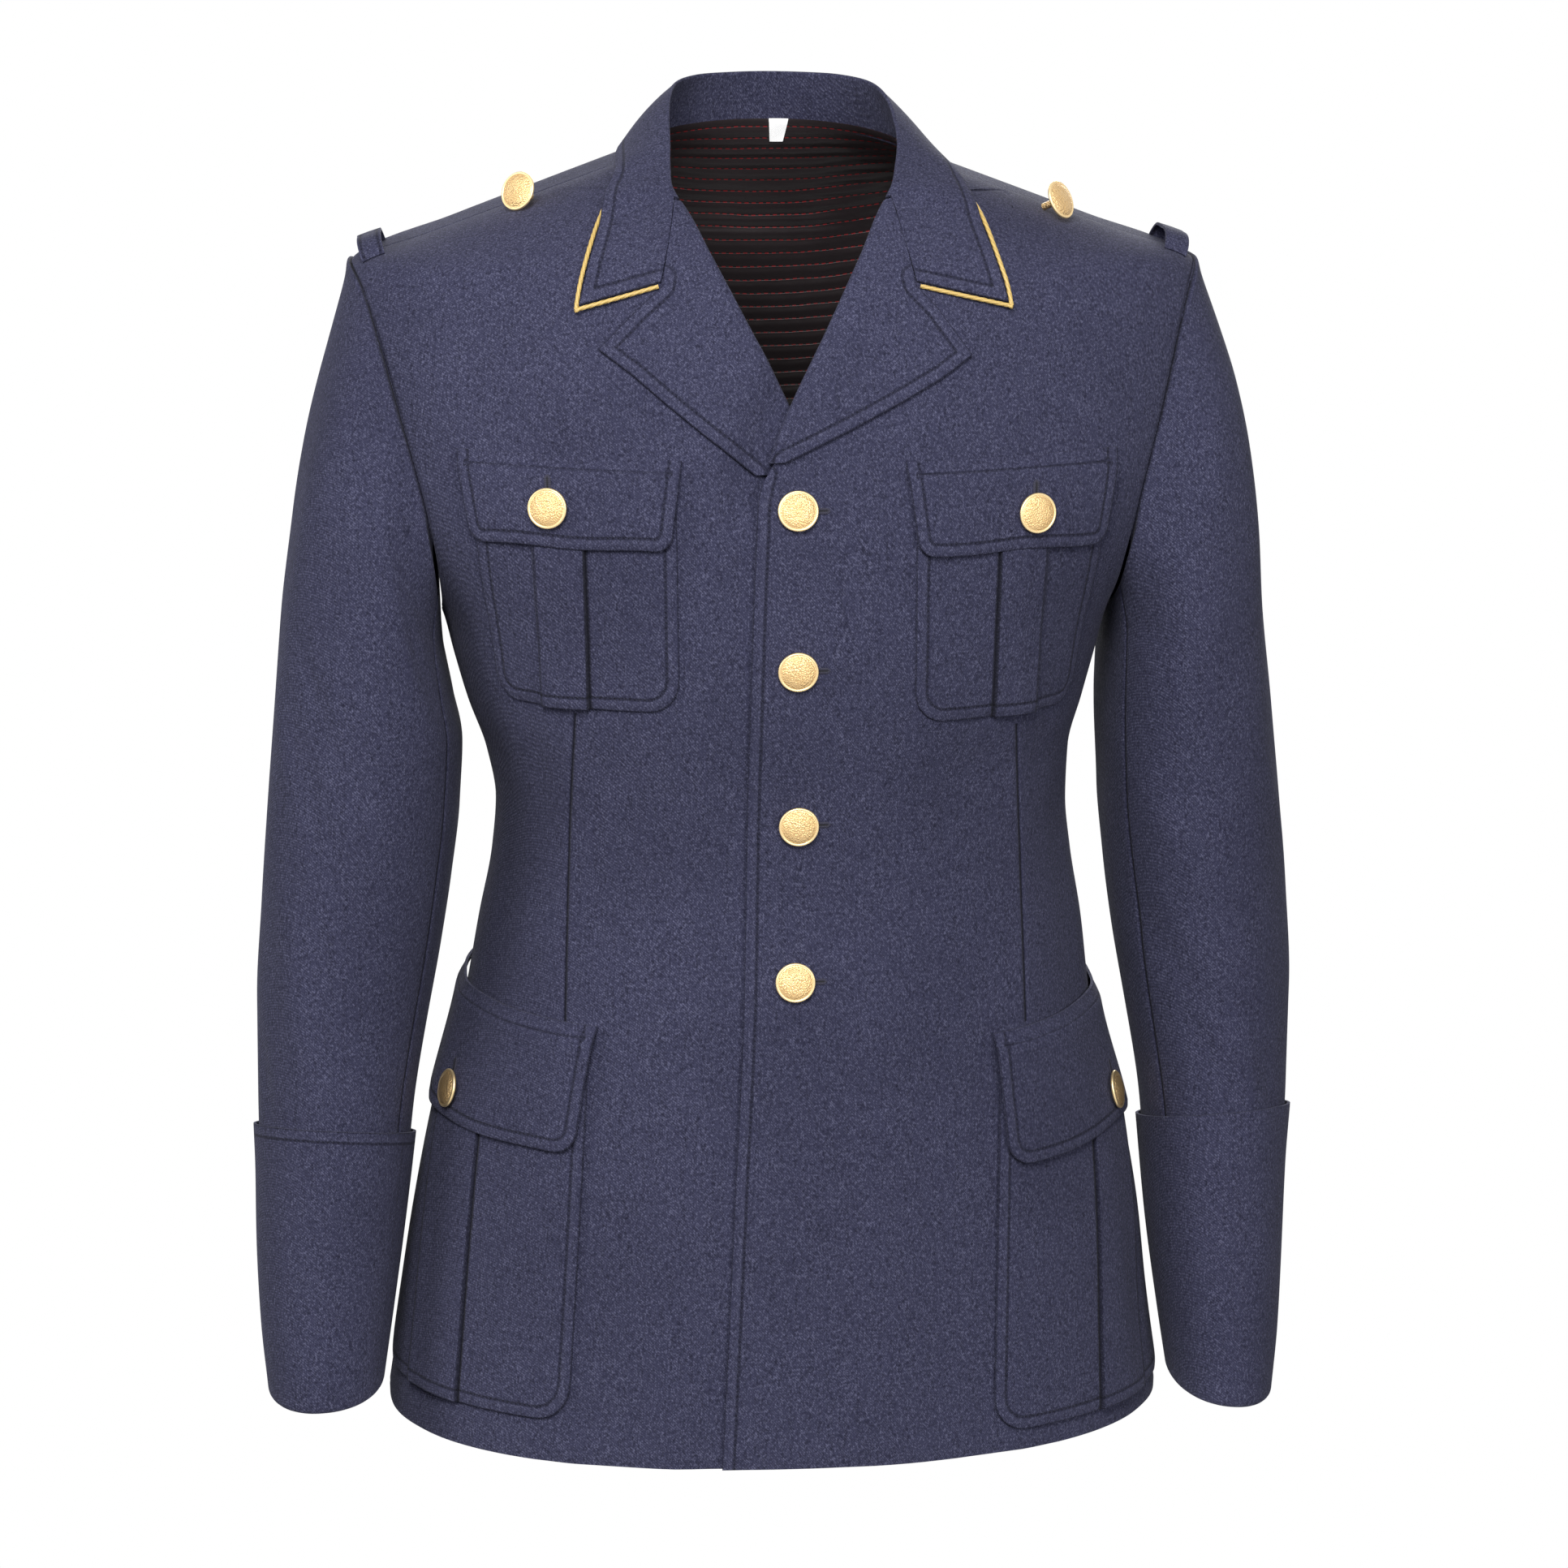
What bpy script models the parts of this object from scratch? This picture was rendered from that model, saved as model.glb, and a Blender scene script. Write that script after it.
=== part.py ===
# A military uniform blouse of wool cloth, filled out and hanging level as a hollow form.
# Frame: the origin is the centre of the neck opening, level with the side neck points.
# +X is the viewer's right and the wearer's left, the front faces -Y, +Z is up. Metres.
import bpy
import numpy as np

for old in list(bpy.data.objects):
    bpy.data.objects.remove(old, do_unlink=True)

# Driving dimensions
CLOTH = 0.0016
THIN = 0.0010
LINING = 0.0010
SEAM = 0.0004
SHOULDER_SLOPE = 0.36
NECK_HALF = 0.0820
SHOULDER_LEVEL = -0.0550
ARMPIT_LEVEL = -0.2500
HEM_LEVEL = -0.7125
BREAK_LEVEL = -0.1600
ROLL = 0.0023
ROUNDNESS = 2.3
NECK_RISE = 0.20
BUTTON_RADIUS = 0.0110
BUTTON_HEIGHT = 0.0048
ARMHOLE_STEPS = 10
LEFT = 1
RIGHT = -1

# Horizontal sections of the body: half width on the wearer's right and left, depth of
# the front and of the back, each at its level.
SECTIONS = np.array([
    # level, right, left, front, back
    [0.0000, 0.0820, 0.0820, 0.052, 0.080],
    [-0.0200, 0.1376, 0.1376, 0.072, 0.096],
    [-0.0400, 0.1931, 0.1931, 0.088, 0.110],
    [-0.0550, 0.2348, 0.2348, 0.097, 0.118],
    [-0.0650, 0.2405, 0.2405, 0.102, 0.122],
    [-0.0850, 0.2440, 0.2440, 0.111, 0.129],
    [-0.1100, 0.2435, 0.2435, 0.121, 0.135],
    [-0.1500, 0.2360, 0.2360, 0.133, 0.142],
    [-0.2000, 0.2150, 0.2150, 0.142, 0.143],
    [-0.2500, 0.1880, 0.1880, 0.142, 0.139],
    [-0.2750, 0.1815, 0.1815, 0.140, 0.136],
    [-0.3000, 0.1745, 0.1750, 0.137, 0.132],
    [-0.3300, 0.1640, 0.1675, 0.132, 0.126],
    [-0.3600, 0.1590, 0.1665, 0.129, 0.121],
    [-0.3900, 0.1615, 0.1695, 0.128, 0.121],
    [-0.4300, 0.1695, 0.1760, 0.131, 0.126],
    [-0.4800, 0.1790, 0.1815, 0.137, 0.135],
    [-0.5400, 0.1950, 0.1960, 0.143, 0.143],
    [-0.6000, 0.2075, 0.2075, 0.148, 0.150],
    [-0.6500, 0.2160, 0.2140, 0.152, 0.154],
    [-0.7300, 0.2290, 0.2265, 0.156, 0.159],
])

# The armhole seam as the front view shows it: its distance from the middle.
ARMHOLE = np.array([
    # level, x
    [-0.0550, 0.2348],
    [-0.0650, 0.2290],
    [-0.0900, 0.2205],
    [-0.1150, 0.2135],
    [-0.1400, 0.2070],
    [-0.1650, 0.2000],
    [-0.1900, 0.1935],
    [-0.2200, 0.1888],
    [-0.2500, 0.1880],
])

# The finished edge of the left front: neckline, roll line, then front edge to the hem.
FRONT_EDGE = np.array([
    # level, x
    [0.0000, 0.0800],
    [-0.0080, 0.0690],
    [-0.0170, 0.0560],
    [-0.0455, 0.0400],
    [-0.0820, 0.0210],
    [-0.1280, -0.0030],
    [-0.1600, -0.0155],
    [-0.1750, -0.0190],
    [-0.3000, -0.0235],
    [-0.4340, -0.0260],
    [-0.5690, -0.0330],
    [-0.7300, -0.0415],
])

# Soft folds of the body, as bumps of the cloth along its own normal.
BODY_FOLDS = np.array([
    # angle, level, half angle, half length, height, lean in degrees per metre
    [52.0, -0.400, 7.0, 0.150, 0.0022, 20.0],
    [-50.0, -0.390, 7.0, 0.140, 0.0020, -15.0],
    [70.0, -0.420, 6.0, 0.090, -0.0016, 10.0],
    [-70.0, -0.430, 6.0, 0.100, -0.0018, -10.0],
    [35.0, -0.640, 8.0, 0.120, -0.0020, 0.0],
    [-33.0, -0.630, 8.0, 0.120, -0.0020, 0.0],
    [18.0, -0.560, 7.0, 0.120, 0.0018, 8.0],
    [-16.0, -0.580, 7.0, 0.110, 0.0016, -8.0],
    [64.0, -0.215, 9.0, 0.060, 0.0030, -60.0],
    [-64.0, -0.215, 9.0, 0.060, 0.0030, 60.0],
    [145.0, -0.380, 9.0, 0.140, 0.0030, 10.0],
    [-150.0, -0.370, 9.0, 0.130, 0.0028, -10.0],
    [165.0, -0.600, 10.0, 0.140, -0.0030, 0.0],
    [-160.0, -0.610, 10.0, 0.150, -0.0026, 0.0],
    [128.0, -0.640, 9.0, 0.120, 0.0026, 0.0],
    [-125.0, -0.630, 9.0, 0.120, 0.0028, 0.0],
])

# Sleeve rings from the armhole down: outer and inner point, half depth, forward shift.
SLEEVE = np.array([
    # outer x, outer z, inner x, inner z, half depth, centre y
    [0.2353, -0.0550, 0.1885, -0.2500, 0.0750, 0.000],
    [0.2440, -0.0740, 0.1885, -0.2600, 0.0800, -0.001],
    [0.2550, -0.1080, 0.1880, -0.2700, 0.0840, -0.002],
    [0.2660, -0.1500, 0.1870, -0.2830, 0.0860, -0.003],
    [0.2740, -0.1950, 0.1860, -0.3000, 0.0860, -0.004],
    [0.2800, -0.2500, 0.1850, -0.3250, 0.0840, -0.005],
    [0.2850, -0.3050, 0.1855, -0.3600, 0.0810, -0.006],
    [0.2900, -0.3600, 0.1895, -0.4000, 0.0780, -0.008],
    [0.2945, -0.4150, 0.1950, -0.4400, 0.0750, -0.011],
    [0.2980, -0.4700, 0.2020, -0.4850, 0.0710, -0.015],
    [0.2978, -0.5250, 0.2090, -0.5330, 0.0670, -0.021],
    [0.2960, -0.5700, 0.2135, -0.5750, 0.0630, -0.027],
    [0.2945, -0.6180, 0.2190, -0.6180, 0.0600, -0.034],
    [0.2920, -0.6590, 0.2250, -0.6570, 0.0570, -0.042],
    [0.2880, -0.6940, 0.2305, -0.6900, 0.0540, -0.049],
])
SLEEVE_END = len(SLEEVE) - 1

# How far each sleeve hangs away from that common form, outwards from the middle.
SLEEVE_HANG = np.array([
    # ring, right outer, right inner, left outer, left inner
    [0.0, 0.0000, 0.0000, 0.0000, 0.0000],
    [2.0, -0.0035, -0.0005, 0.0000, 0.0000],
    [4.0, -0.0035, -0.0040, -0.0020, 0.0000],
    [5.0, -0.0020, -0.0075, -0.0035, 0.0010],
    [6.0, -0.0020, -0.0060, -0.0020, 0.0020],
    [8.0, -0.0020, -0.0037, -0.0010, 0.0010],
    [10.0, -0.0010, -0.0005, -0.0035, 0.0025],
    [12.0, 0.0025, 0.0000, -0.0050, -0.0005],
    [14.0, 0.0040, -0.0005, -0.0055, -0.0020],
])
CUFF_TOP = 10.4
# How much higher than the table each sleeve's end hangs.
SLEEVE_END_RISE = {LEFT: -0.007, RIGHT: 0.004}

# Folds of the sleeves: side, ring, angle, half length in rings, half angle, height, lean.
SLEEVE_FOLDS = np.array([
    # side, ring, angle, half length, half angle, height, lean in degrees per ring
    [-1, 4.5, 38.0, 3.2, 15.0, 0.0030, -4.0],
    [-1, 7.6, 88.0, 1.4, 16.0, -0.0026, 22.0],
    [-1, 8.6, 60.0, 1.3, 15.0, 0.0030, 14.0],
    [-1, 2.6, 100.0, 1.6, 15.0, 0.0030, 12.0],
    [1, 7.3, 95.0, 1.3, 16.0, 0.0036, -24.0],
    [1, 8.4, 120.0, 1.1, 15.0, -0.0028, -20.0],
    [1, 9.2, 85.0, 1.0, 16.0, 0.0030, -18.0],
    [1, 4.0, 42.0, 3.0, 15.0, 0.0028, 4.0],
    [1, 2.4, 105.0, 1.5, 15.0, 0.0028, -12.0],
    [-1, 7.0, 270.0, 1.6, 22.0, 0.0030, 12.0],
    [1, 7.0, 262.0, 1.6, 22.0, 0.0032, -12.0],
    [-1, 8.3, 250.0, 1.2, 18.0, -0.0030, 14.0],
    [1, 8.5, 255.0, 1.2, 18.0, -0.0028, -14.0],
])
UPPER_FROM = -126.0
UPPER_TO = 144.0


def smooth(at, xs, ys):
    """Monotone cubic through the rows of a table. xs may run up or down."""
    at = np.asarray(at, float)
    if xs[0] > xs[-1]:
        xs = xs[::-1]
        ys = ys[::-1]
    step = np.diff(xs)
    slope = np.diff(ys) / step
    tangent = np.zeros(len(xs))
    both = slope[:-1] * slope[1:] > 0
    mean = np.zeros(len(slope) - 1)
    mean[both] = 2 * slope[:-1][both] * slope[1:][both] / (slope[:-1] + slope[1:])[both]
    tangent[1:-1] = mean
    tangent[0] = slope[0]
    tangent[-1] = slope[-1]
    k = np.clip(np.searchsorted(xs, at) - 1, 0, len(step) - 1)
    t = (at - xs[k]) / step[k]
    t = np.clip(t, 0.0, 1.0)
    h = step[k]
    low = (1 + 2 * t) * (1 - t) ** 2 * ys[k] + t * (1 - t) ** 2 * h * tangent[k]
    high = t * t * (3 - 2 * t) * ys[k + 1] + t * t * (t - 1) * h * tangent[k + 1]
    return low + high


def ease(t):
    t = np.clip(t, 0.0, 1.0)
    return t * t * (3 - 2 * t)


def unit(v):
    return v / np.maximum(np.linalg.norm(v, axis=-1, keepdims=True), 1e-12)


def axes_at(side, level):
    """Half width on this side, front depth and back depth of the section at a level."""
    wide = smooth(level, SECTIONS[:, 0], SECTIONS[:, 2 if side > 0 else 1])
    front = smooth(level, SECTIONS[:, 0], SECTIONS[:, 3])
    back = smooth(level, SECTIONS[:, 0], SECTIONS[:, 4])
    return wide, front, back


def bare(angle, level):
    """The body's surface. The angle is in degrees: 0 centre front, 90 left side, 180 back."""
    angle, level = np.broadcast_arrays(np.asarray(angle, float), np.asarray(level, float))
    turn = np.radians(angle)
    sine = np.sin(turn)
    cosine = np.cos(turn)
    wide_left, front, back = axes_at(LEFT, level)
    wide_right = axes_at(RIGHT, level)[0]
    wide = np.where(sine >= 0, wide_left, wide_right)
    deep = np.where(cosine >= 0, front, back)
    radius = (np.abs(sine / wide) ** ROUNDNESS + np.abs(cosine / deep) ** ROUNDNESS) ** (-1 / ROUNDNESS)
    x = radius * sine
    y = -radius * cosine
    behind = np.maximum(y, 0.0)
    rise = NECK_RISE * behind ** 2 / (behind + 0.02) * ease((level + 0.15) / 0.15)
    return np.stack([x, y, level + rise], -1)


def normal_at(angle, level):
    around = bare(np.add(angle, 0.05), level) - bare(np.add(angle, -0.05), level)
    down = bare(angle, np.add(level, -0.0002)) - bare(angle, np.add(level, 0.0002))
    return unit(np.cross(down, around))


def fold_height(angle, level):
    total = np.zeros(np.broadcast(angle, level).shape)
    for at, high, width, length, height, lean in BODY_FOLDS:
        centre = at + lean * (np.asarray(level) - high)
        away = (np.asarray(angle) - centre + 180.0) % 360.0 - 180.0
        along = (np.asarray(level) - high) / length
        total = total + height * np.exp(-(away / width) ** 2 - along ** 2)
    return total


def skin(angle, level, lift):
    """A point over the body's surface, lifted along its normal, with the folds."""
    height = np.asarray(lift) + fold_height(angle, level)
    return bare(angle, level) + normal_at(angle, level) * height[..., None]


def angle_of(x, level):
    """The angle on the front half at which the body's surface has this x."""
    x, level = np.broadcast_arrays(np.asarray(x, float), np.asarray(level, float))
    wide_left, front, _ = axes_at(LEFT, level)
    wide_right = axes_at(RIGHT, level)[0]
    wide = np.where(x >= 0, wide_left, wide_right)
    share = np.clip(np.abs(x) / wide, 0.0, 1.0)
    y = front * (1 - share ** ROUNDNESS) ** (1 / ROUNDNESS)
    return np.degrees(np.arctan2(x, y))


def back_angle_of(x, level):
    wide_left, _, back = axes_at(LEFT, level)
    wide_right = axes_at(RIGHT, level)[0]
    wide = np.where(np.asarray(x) >= 0, wide_left, wide_right)
    share = np.clip(np.abs(x) / wide, 0.0, 1.0)
    y = -back * (1 - share ** ROUNDNESS) ** (1 / ROUNDNESS)
    return np.degrees(np.arctan2(x, y)) % 360.0


def edge_x(level):
    return smooth(level, FRONT_EDGE[:, 0], FRONT_EDGE[:, 1])


def sunk(x, level):
    """How far the right front lies under the left one where the two overlap."""
    deep = 0.0030 + 0.0048 * ease((level + 0.205) / 0.040)
    return deep * ease((x - edge_x(level) + 0.030) / 0.028)


ARM_LEVELS = (SHOULDER_LEVEL + ARMPIT_LEVEL) / 2 + (SHOULDER_LEVEL - ARMPIT_LEVEL) / 2 * np.cos(
    np.radians(np.arange(ARMHOLE_STEPS + 1) * 180.0 / ARMHOLE_STEPS)
)


def armhole_angle(level, half):
    """The angle of the left armhole seam on the front half (1) or on the back half (-1)."""
    x = smooth(level, ARMHOLE[:, 0], ARMHOLE[:, 1])
    wide = axes_at(LEFT, level)[0]
    x = np.minimum(x, wide)
    return angle_of(x, level) if half > 0 else back_angle_of(x, level)


def add(name, points, faces, look):
    """One closed body with its own material. Its faces are turned outwards."""
    points = np.asarray(points, float)
    volume = 0.0
    for face in faces:
        a = points[face[0]]
        for k in range(1, len(face) - 1):
            volume += np.dot(a, np.cross(points[face[k]], points[face[k + 1]]))
    if volume < 0:
        faces = [tuple(reversed(face)) for face in faces]
    mesh = bpy.data.meshes.new(name)
    mesh.from_pydata([tuple(p) for p in points], [], faces)
    mesh.validate()
    thing = bpy.data.objects.new(name, mesh)
    bpy.context.scene.collection.objects.link(thing)
    colour, metallic, rough = look
    made = bpy.data.materials.new(name)
    made.use_nodes = True
    shader = made.node_tree.nodes["Principled BSDF"]
    shader.inputs["Base Color"].default_value = (*colour, 1.0)
    shader.inputs["Metallic"].default_value = metallic
    shader.inputs["Roughness"].default_value = rough
    mesh.materials.append(made)
    return thing


WOOL = ((0.066, 0.064, 0.108), 0.0, 0.92)
SATIN = ((0.020, 0.015, 0.017), 0.0, 0.45)
GOLD = ((0.83, 0.62, 0.27), 1.0, 0.38)
CORD = ((0.86, 0.66, 0.27), 0.0, 0.60)
WHITE = ((0.90, 0.90, 0.90), 0.0, 0.80)


def wall(name, outer, inner, look, kept=None, ring=False):
    """A sheet of cloth from two grids of points: both faces and a rim round each open edge."""
    rows, cols = outer.shape[:2]
    cells = cols if ring else cols - 1
    if kept is None:
        kept = np.ones((rows - 1, cells), bool)
    shift = rows * cols
    faces = []
    for r in range(rows - 1):
        for c in range(cells):
            if not kept[r, c]:
                continue
            d = (c + 1) % cols
            corners = (r * cols + c, r * cols + d, (r + 1) * cols + d, (r + 1) * cols + c)
            p, q, s, t = corners
            faces += [(p, q, s), (p, s, t)]
            faces += [(shift + s, shift + q, shift + p), (shift + t, shift + s, shift + p)]
            beside = (
                (r > 0 and kept[r - 1, c]),
                kept[r, (c + 1) % cells] if ring else (c < cells - 1 and kept[r, c + 1]),
                (r < rows - 2 and kept[r + 1, c]),
                kept[r, c - 1] if ring else (c > 0 and kept[r, c - 1]),
            )
            for k in range(4):
                if not beside[k]:
                    a = corners[k]
                    b = corners[(k + 1) % 4]
                    faces.append((b, a, shift + a, shift + b))
    points = np.concatenate([outer.reshape(-1, 3), inner.reshape(-1, 3)])
    used = sorted({k for face in faces for k in face})
    new = {k: n for n, k in enumerate(used)}
    faces = [tuple(new[k] for k in face) for face in faces]
    return add(name, points[used], faces, look)


def grid_normals(mid, ring=False):
    if ring:
        across = np.roll(mid, -1, 1) - np.roll(mid, 1, 1)
    else:
        across = np.gradient(mid, axis=1)
    down = np.gradient(mid, axis=0)
    return unit(np.cross(down, across))


def folded(name, mid, thick, look, kept=None, ring=False):
    """A sheet of cloth from the points of its middle surface."""
    offset = grid_normals(mid, ring) * (thick / 2)
    return wall(name, mid + offset, mid - offset, look, kept, ring)


def revolve(name, profile, centre, axis, look, steps=14):
    """A closed turned body. The profile lists (radius, height) from its foot to its top."""
    axis = unit(np.asarray(axis, float))
    helper = np.array([0.0, 0.0, 1.0]) if abs(axis[2]) < 0.9 else np.array([0.0, 1.0, 0.0])
    u = unit(np.cross(helper, axis))
    v = np.cross(axis, u)
    points = []
    faces = []
    for radius, height in profile[1:-1]:
        for k in range(steps):
            turn = 2 * np.pi * k / steps
            points.append(centre + axis * height + (u * np.cos(turn) + v * np.sin(turn)) * radius)
    rings = len(profile) - 2
    for r in range(rings - 1):
        for k in range(steps):
            n = (k + 1) % steps
            faces.append((r * steps + k, r * steps + n, (r + 1) * steps + n, (r + 1) * steps + k))
    points.append(centre + axis * profile[0][1])
    points.append(centre + axis * profile[-1][1])
    foot = len(points) - 2
    for k in range(steps):
        n = (k + 1) % steps
        faces.append((foot, n, k))
        faces.append((foot + 1, (rings - 1) * steps + k, (rings - 1) * steps + n))
    return add(name, points, faces, look)


def tube(name, path, radius, look, steps=6):
    """A round cord along a path of points, with a flat end at each end."""
    path = np.asarray(path, float)
    along = unit(np.gradient(path, axis=0))
    side = np.cross(along[0], [0.0, 0.0, 1.0])
    points = []
    for k in range(len(path)):
        side = unit(side - along[k] * np.dot(side, along[k]))
        third = np.cross(along[k], side)
        for j in range(steps):
            turn = 2 * np.pi * j / steps
            points.append(path[k] + radius * (side * np.cos(turn) + third * np.sin(turn)))
    faces = []
    for k in range(len(path) - 1):
        for j in range(steps):
            n = (j + 1) % steps
            faces.append((k * steps + j, k * steps + n, (k + 1) * steps + n, (k + 1) * steps + j))
    faces.append(tuple(reversed(range(steps))))
    faces.append(tuple(range((len(path) - 1) * steps, len(path) * steps)))
    return add(name, points, faces, look)


# Levels of the rows of the body panels: shoulder, armhole, then down to the hem
SHOULDER_ROWS = np.array([-0.0004, -0.0080, -0.0170, -0.0270, -0.0370, -0.0460])
BODY_ROWS = np.linspace(ARMPIT_LEVEL, HEM_LEVEL, 12)[1:]
LEVELS = np.concatenate([SHOULDER_ROWS, ARM_LEVELS, BODY_ROWS])


def side_angle(level, half):
    """Where a panel ends at the side: shoulder seam, armhole, or side seam."""
    limit = 90.0 - half * float(np.degrees(SEAM / 2 / axes_at(LEFT, level)[0]))
    if level > SHOULDER_LEVEL or level < ARMPIT_LEVEL:
        return limit
    at = float(armhole_angle(level, half))
    return min(at, limit) if half > 0 else max(at, limit)


def roll_edge(level):
    """The cut edge of the left front: set back inside the lapel's roll above the break."""
    return edge_x(level) + (ROLL + CLOTH / 2) * ease((level - BREAK_LEVEL) / 0.004)


# Fronts. The left one lies on top; the right one sinks under it. The first columns keep
# their distance from the edge, the last ones close up to the armhole.
EDGE_COLUMNS = (0.0, 0.008, 0.016, 0.027)
MIDDLE_COLUMNS = 4
OUTER_COLUMNS = 4
SIDE_ANCHOR = 52.0


def front_angles(level):
    start_x = float(roll_edge(level))
    start = float(angle_of(start_x, level))
    end = side_angle(level, 1)
    anchor = max(SIDE_ANCHOR, start + 0.55 * (end - start))
    span = np.radians(anchor - start) * 0.13
    scale = min(1.0, 0.55 * span / EDGE_COLUMNS[-1])
    near_edge = [float(angle_of(start_x + dx * scale, level)) for dx in EDGE_COLUMNS]
    middle = np.linspace(near_edge[-1], anchor, MIDDLE_COLUMNS + 1)[1:]
    rest = np.linspace(anchor, end, OUTER_COLUMNS + 1)[1:]
    return np.concatenate([near_edge, middle, rest])


def front(name, side):
    outer = []
    inner = []
    for level in LEVELS:
        angle = side * front_angles(level)
        x = bare(angle, level)[:, 0]
        drop = -sunk(x, level) if side == RIGHT else np.zeros(len(angle))
        outer.append(skin(angle, level, drop))
        inner.append(skin(angle, level, drop - CLOTH))
    return wall(name, np.array(outer), np.array(inner), WOOL)


front("front_left", LEFT)
front("front_right", RIGHT)


# Back panel and the quilted lining inside it, out of the same rows of angles
BACK_FIXED = np.linspace(180.0, 126.0, 6)
BACK_OUTER_COLUMNS = 3


def back_angles(level):
    start = side_angle(level, -1)
    outer_part = np.linspace(BACK_FIXED[-1], start, BACK_OUTER_COLUMNS + 1)[1:]
    half = np.concatenate([BACK_FIXED, outer_part])
    return np.concatenate([half[::-1], 360.0 - half[1:]])


outer = np.array([skin(back_angles(z), z, 0.0) for z in LEVELS])
inner = np.array([skin(back_angles(z), z, -CLOTH) for z in LEVELS])
wall("back", outer, inner, WOOL)

LINING_GAP = 0.0021
near = -CLOTH - LINING_GAP


def lining_grid(lift):
    """The back's own rows from below the stand to above the hem, short of its sides."""
    grid = np.array([skin(back_angles(z), z, lift) for z in LEVELS[1:-1]])
    return grid[:, 2:-2]


wall("back_lining", lining_grid(near), lining_grid(near - LINING), SATIN)

# Lapels: each is a facing that wraps the roll edge of its front and lies on the chest.
# Rows: level and outer edge x, from the gorge to the break.
LAPELS = {
    LEFT: np.array([
        [-0.0190, 0.0588],
        [-0.0330, 0.0623],
        [-0.0460, 0.0657],
        [-0.0580, 0.0684],
        [-0.0625, 0.0694],
        [-0.0736, 0.0802],
        [-0.0985, 0.0985],
        [-0.1100, 0.0815],
        [-0.1224, 0.0585],
        [-0.1370, 0.0290],
        [-0.1525, -0.0040],
    ]),
    RIGHT: np.array([
        [-0.0190, 0.0586],
        [-0.0330, 0.0612],
        [-0.0460, 0.0642],
        [-0.0572, 0.0664],
        [-0.0620, 0.0674],
        [-0.0736, 0.0810],
        [-0.0940, 0.1020],
        [-0.1080, 0.0830],
        [-0.1224, 0.0662],
        [-0.1370, 0.0480],
        [-0.1525, 0.0275],
        [-0.1580, 0.0200],
    ]),
}
UNDER_LAPEL_WRAP = -CLOTH / 2 - ROLL
LAPEL_LIE = ROLL - CLOTH / 2
LAPEL_SINK = 0.92
RIGHT_TUCK = 0.0005


def lapel(name, side):
    grid = []
    for level, outer_x in LAPELS[side]:
        edge = float(roll_edge(level))
        openness = float(ease((level + 0.150) / 0.090))
        tail = 0.0012 + 0.009 * float(ease((level + 0.118) / 0.050))
        width = outer_x - edge
        swell = min(0.0022, 0.030 * width) * openness
        under = UNDER_LAPEL_WRAP - (RIGHT_TUCK if side == RIGHT else 0.0)
        inside = [(tail, under), (tail * 0.5, under)]
        bend = [
            (-ROLL * np.sin(t), -CLOTH / 2 - ROLL * np.cos(t))
            for t in np.radians([10.0, 63.0, 117.0, 170.0])
        ]
        flat = []
        for share in (0.08, 0.20, 0.38, 0.58, 0.80, 1.0):
            away = share * width
            bump = swell * np.exp(-((away - 0.010) / 0.010) ** 2)
            flat.append((away, LAPEL_LIE + bump + 0.0008 * share))
        row = []
        for dx, height in inside + bend + flat:
            x = edge + max(dx, -ROLL)
            angle = side * angle_of(x, level)
            sink = 0.0 if side == LEFT else float(sunk(side * x, level))
            if height > 0:
                sink *= LAPEL_SINK
            row.append(skin(angle, level, height - sink))
        grid.append(row)
    return folded(name, np.array(grid), CLOTH, WOOL)


lapel("lapel_left", LEFT)
lapel("lapel_right", RIGHT)

# Collar: one folded sheet, its stand inside the neck edge and its fall over the shoulders.
# Gorge rows run from the notch up to the roll: inner edge and outer edge on the chest.
GORGE = {
    LEFT: np.array([
        # inner x, inner level, outer x, outer level
        [0.0700, -0.0600, 0.1195, -0.0718],
        [0.0672, -0.0490, 0.1170, -0.0620],
        [0.0640, -0.0370, 0.1143, -0.0530],
        [0.0612, -0.0250, 0.1115, -0.0440],
    ]),
    RIGHT: np.array([
        [0.0680, -0.0592, 0.1120, -0.0718],
        [0.0655, -0.0490, 0.1090, -0.0610],
        [0.0625, -0.0370, 0.1058, -0.0500],
        [0.0602, -0.0250, 0.1022, -0.0400],
    ]),
}
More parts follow.
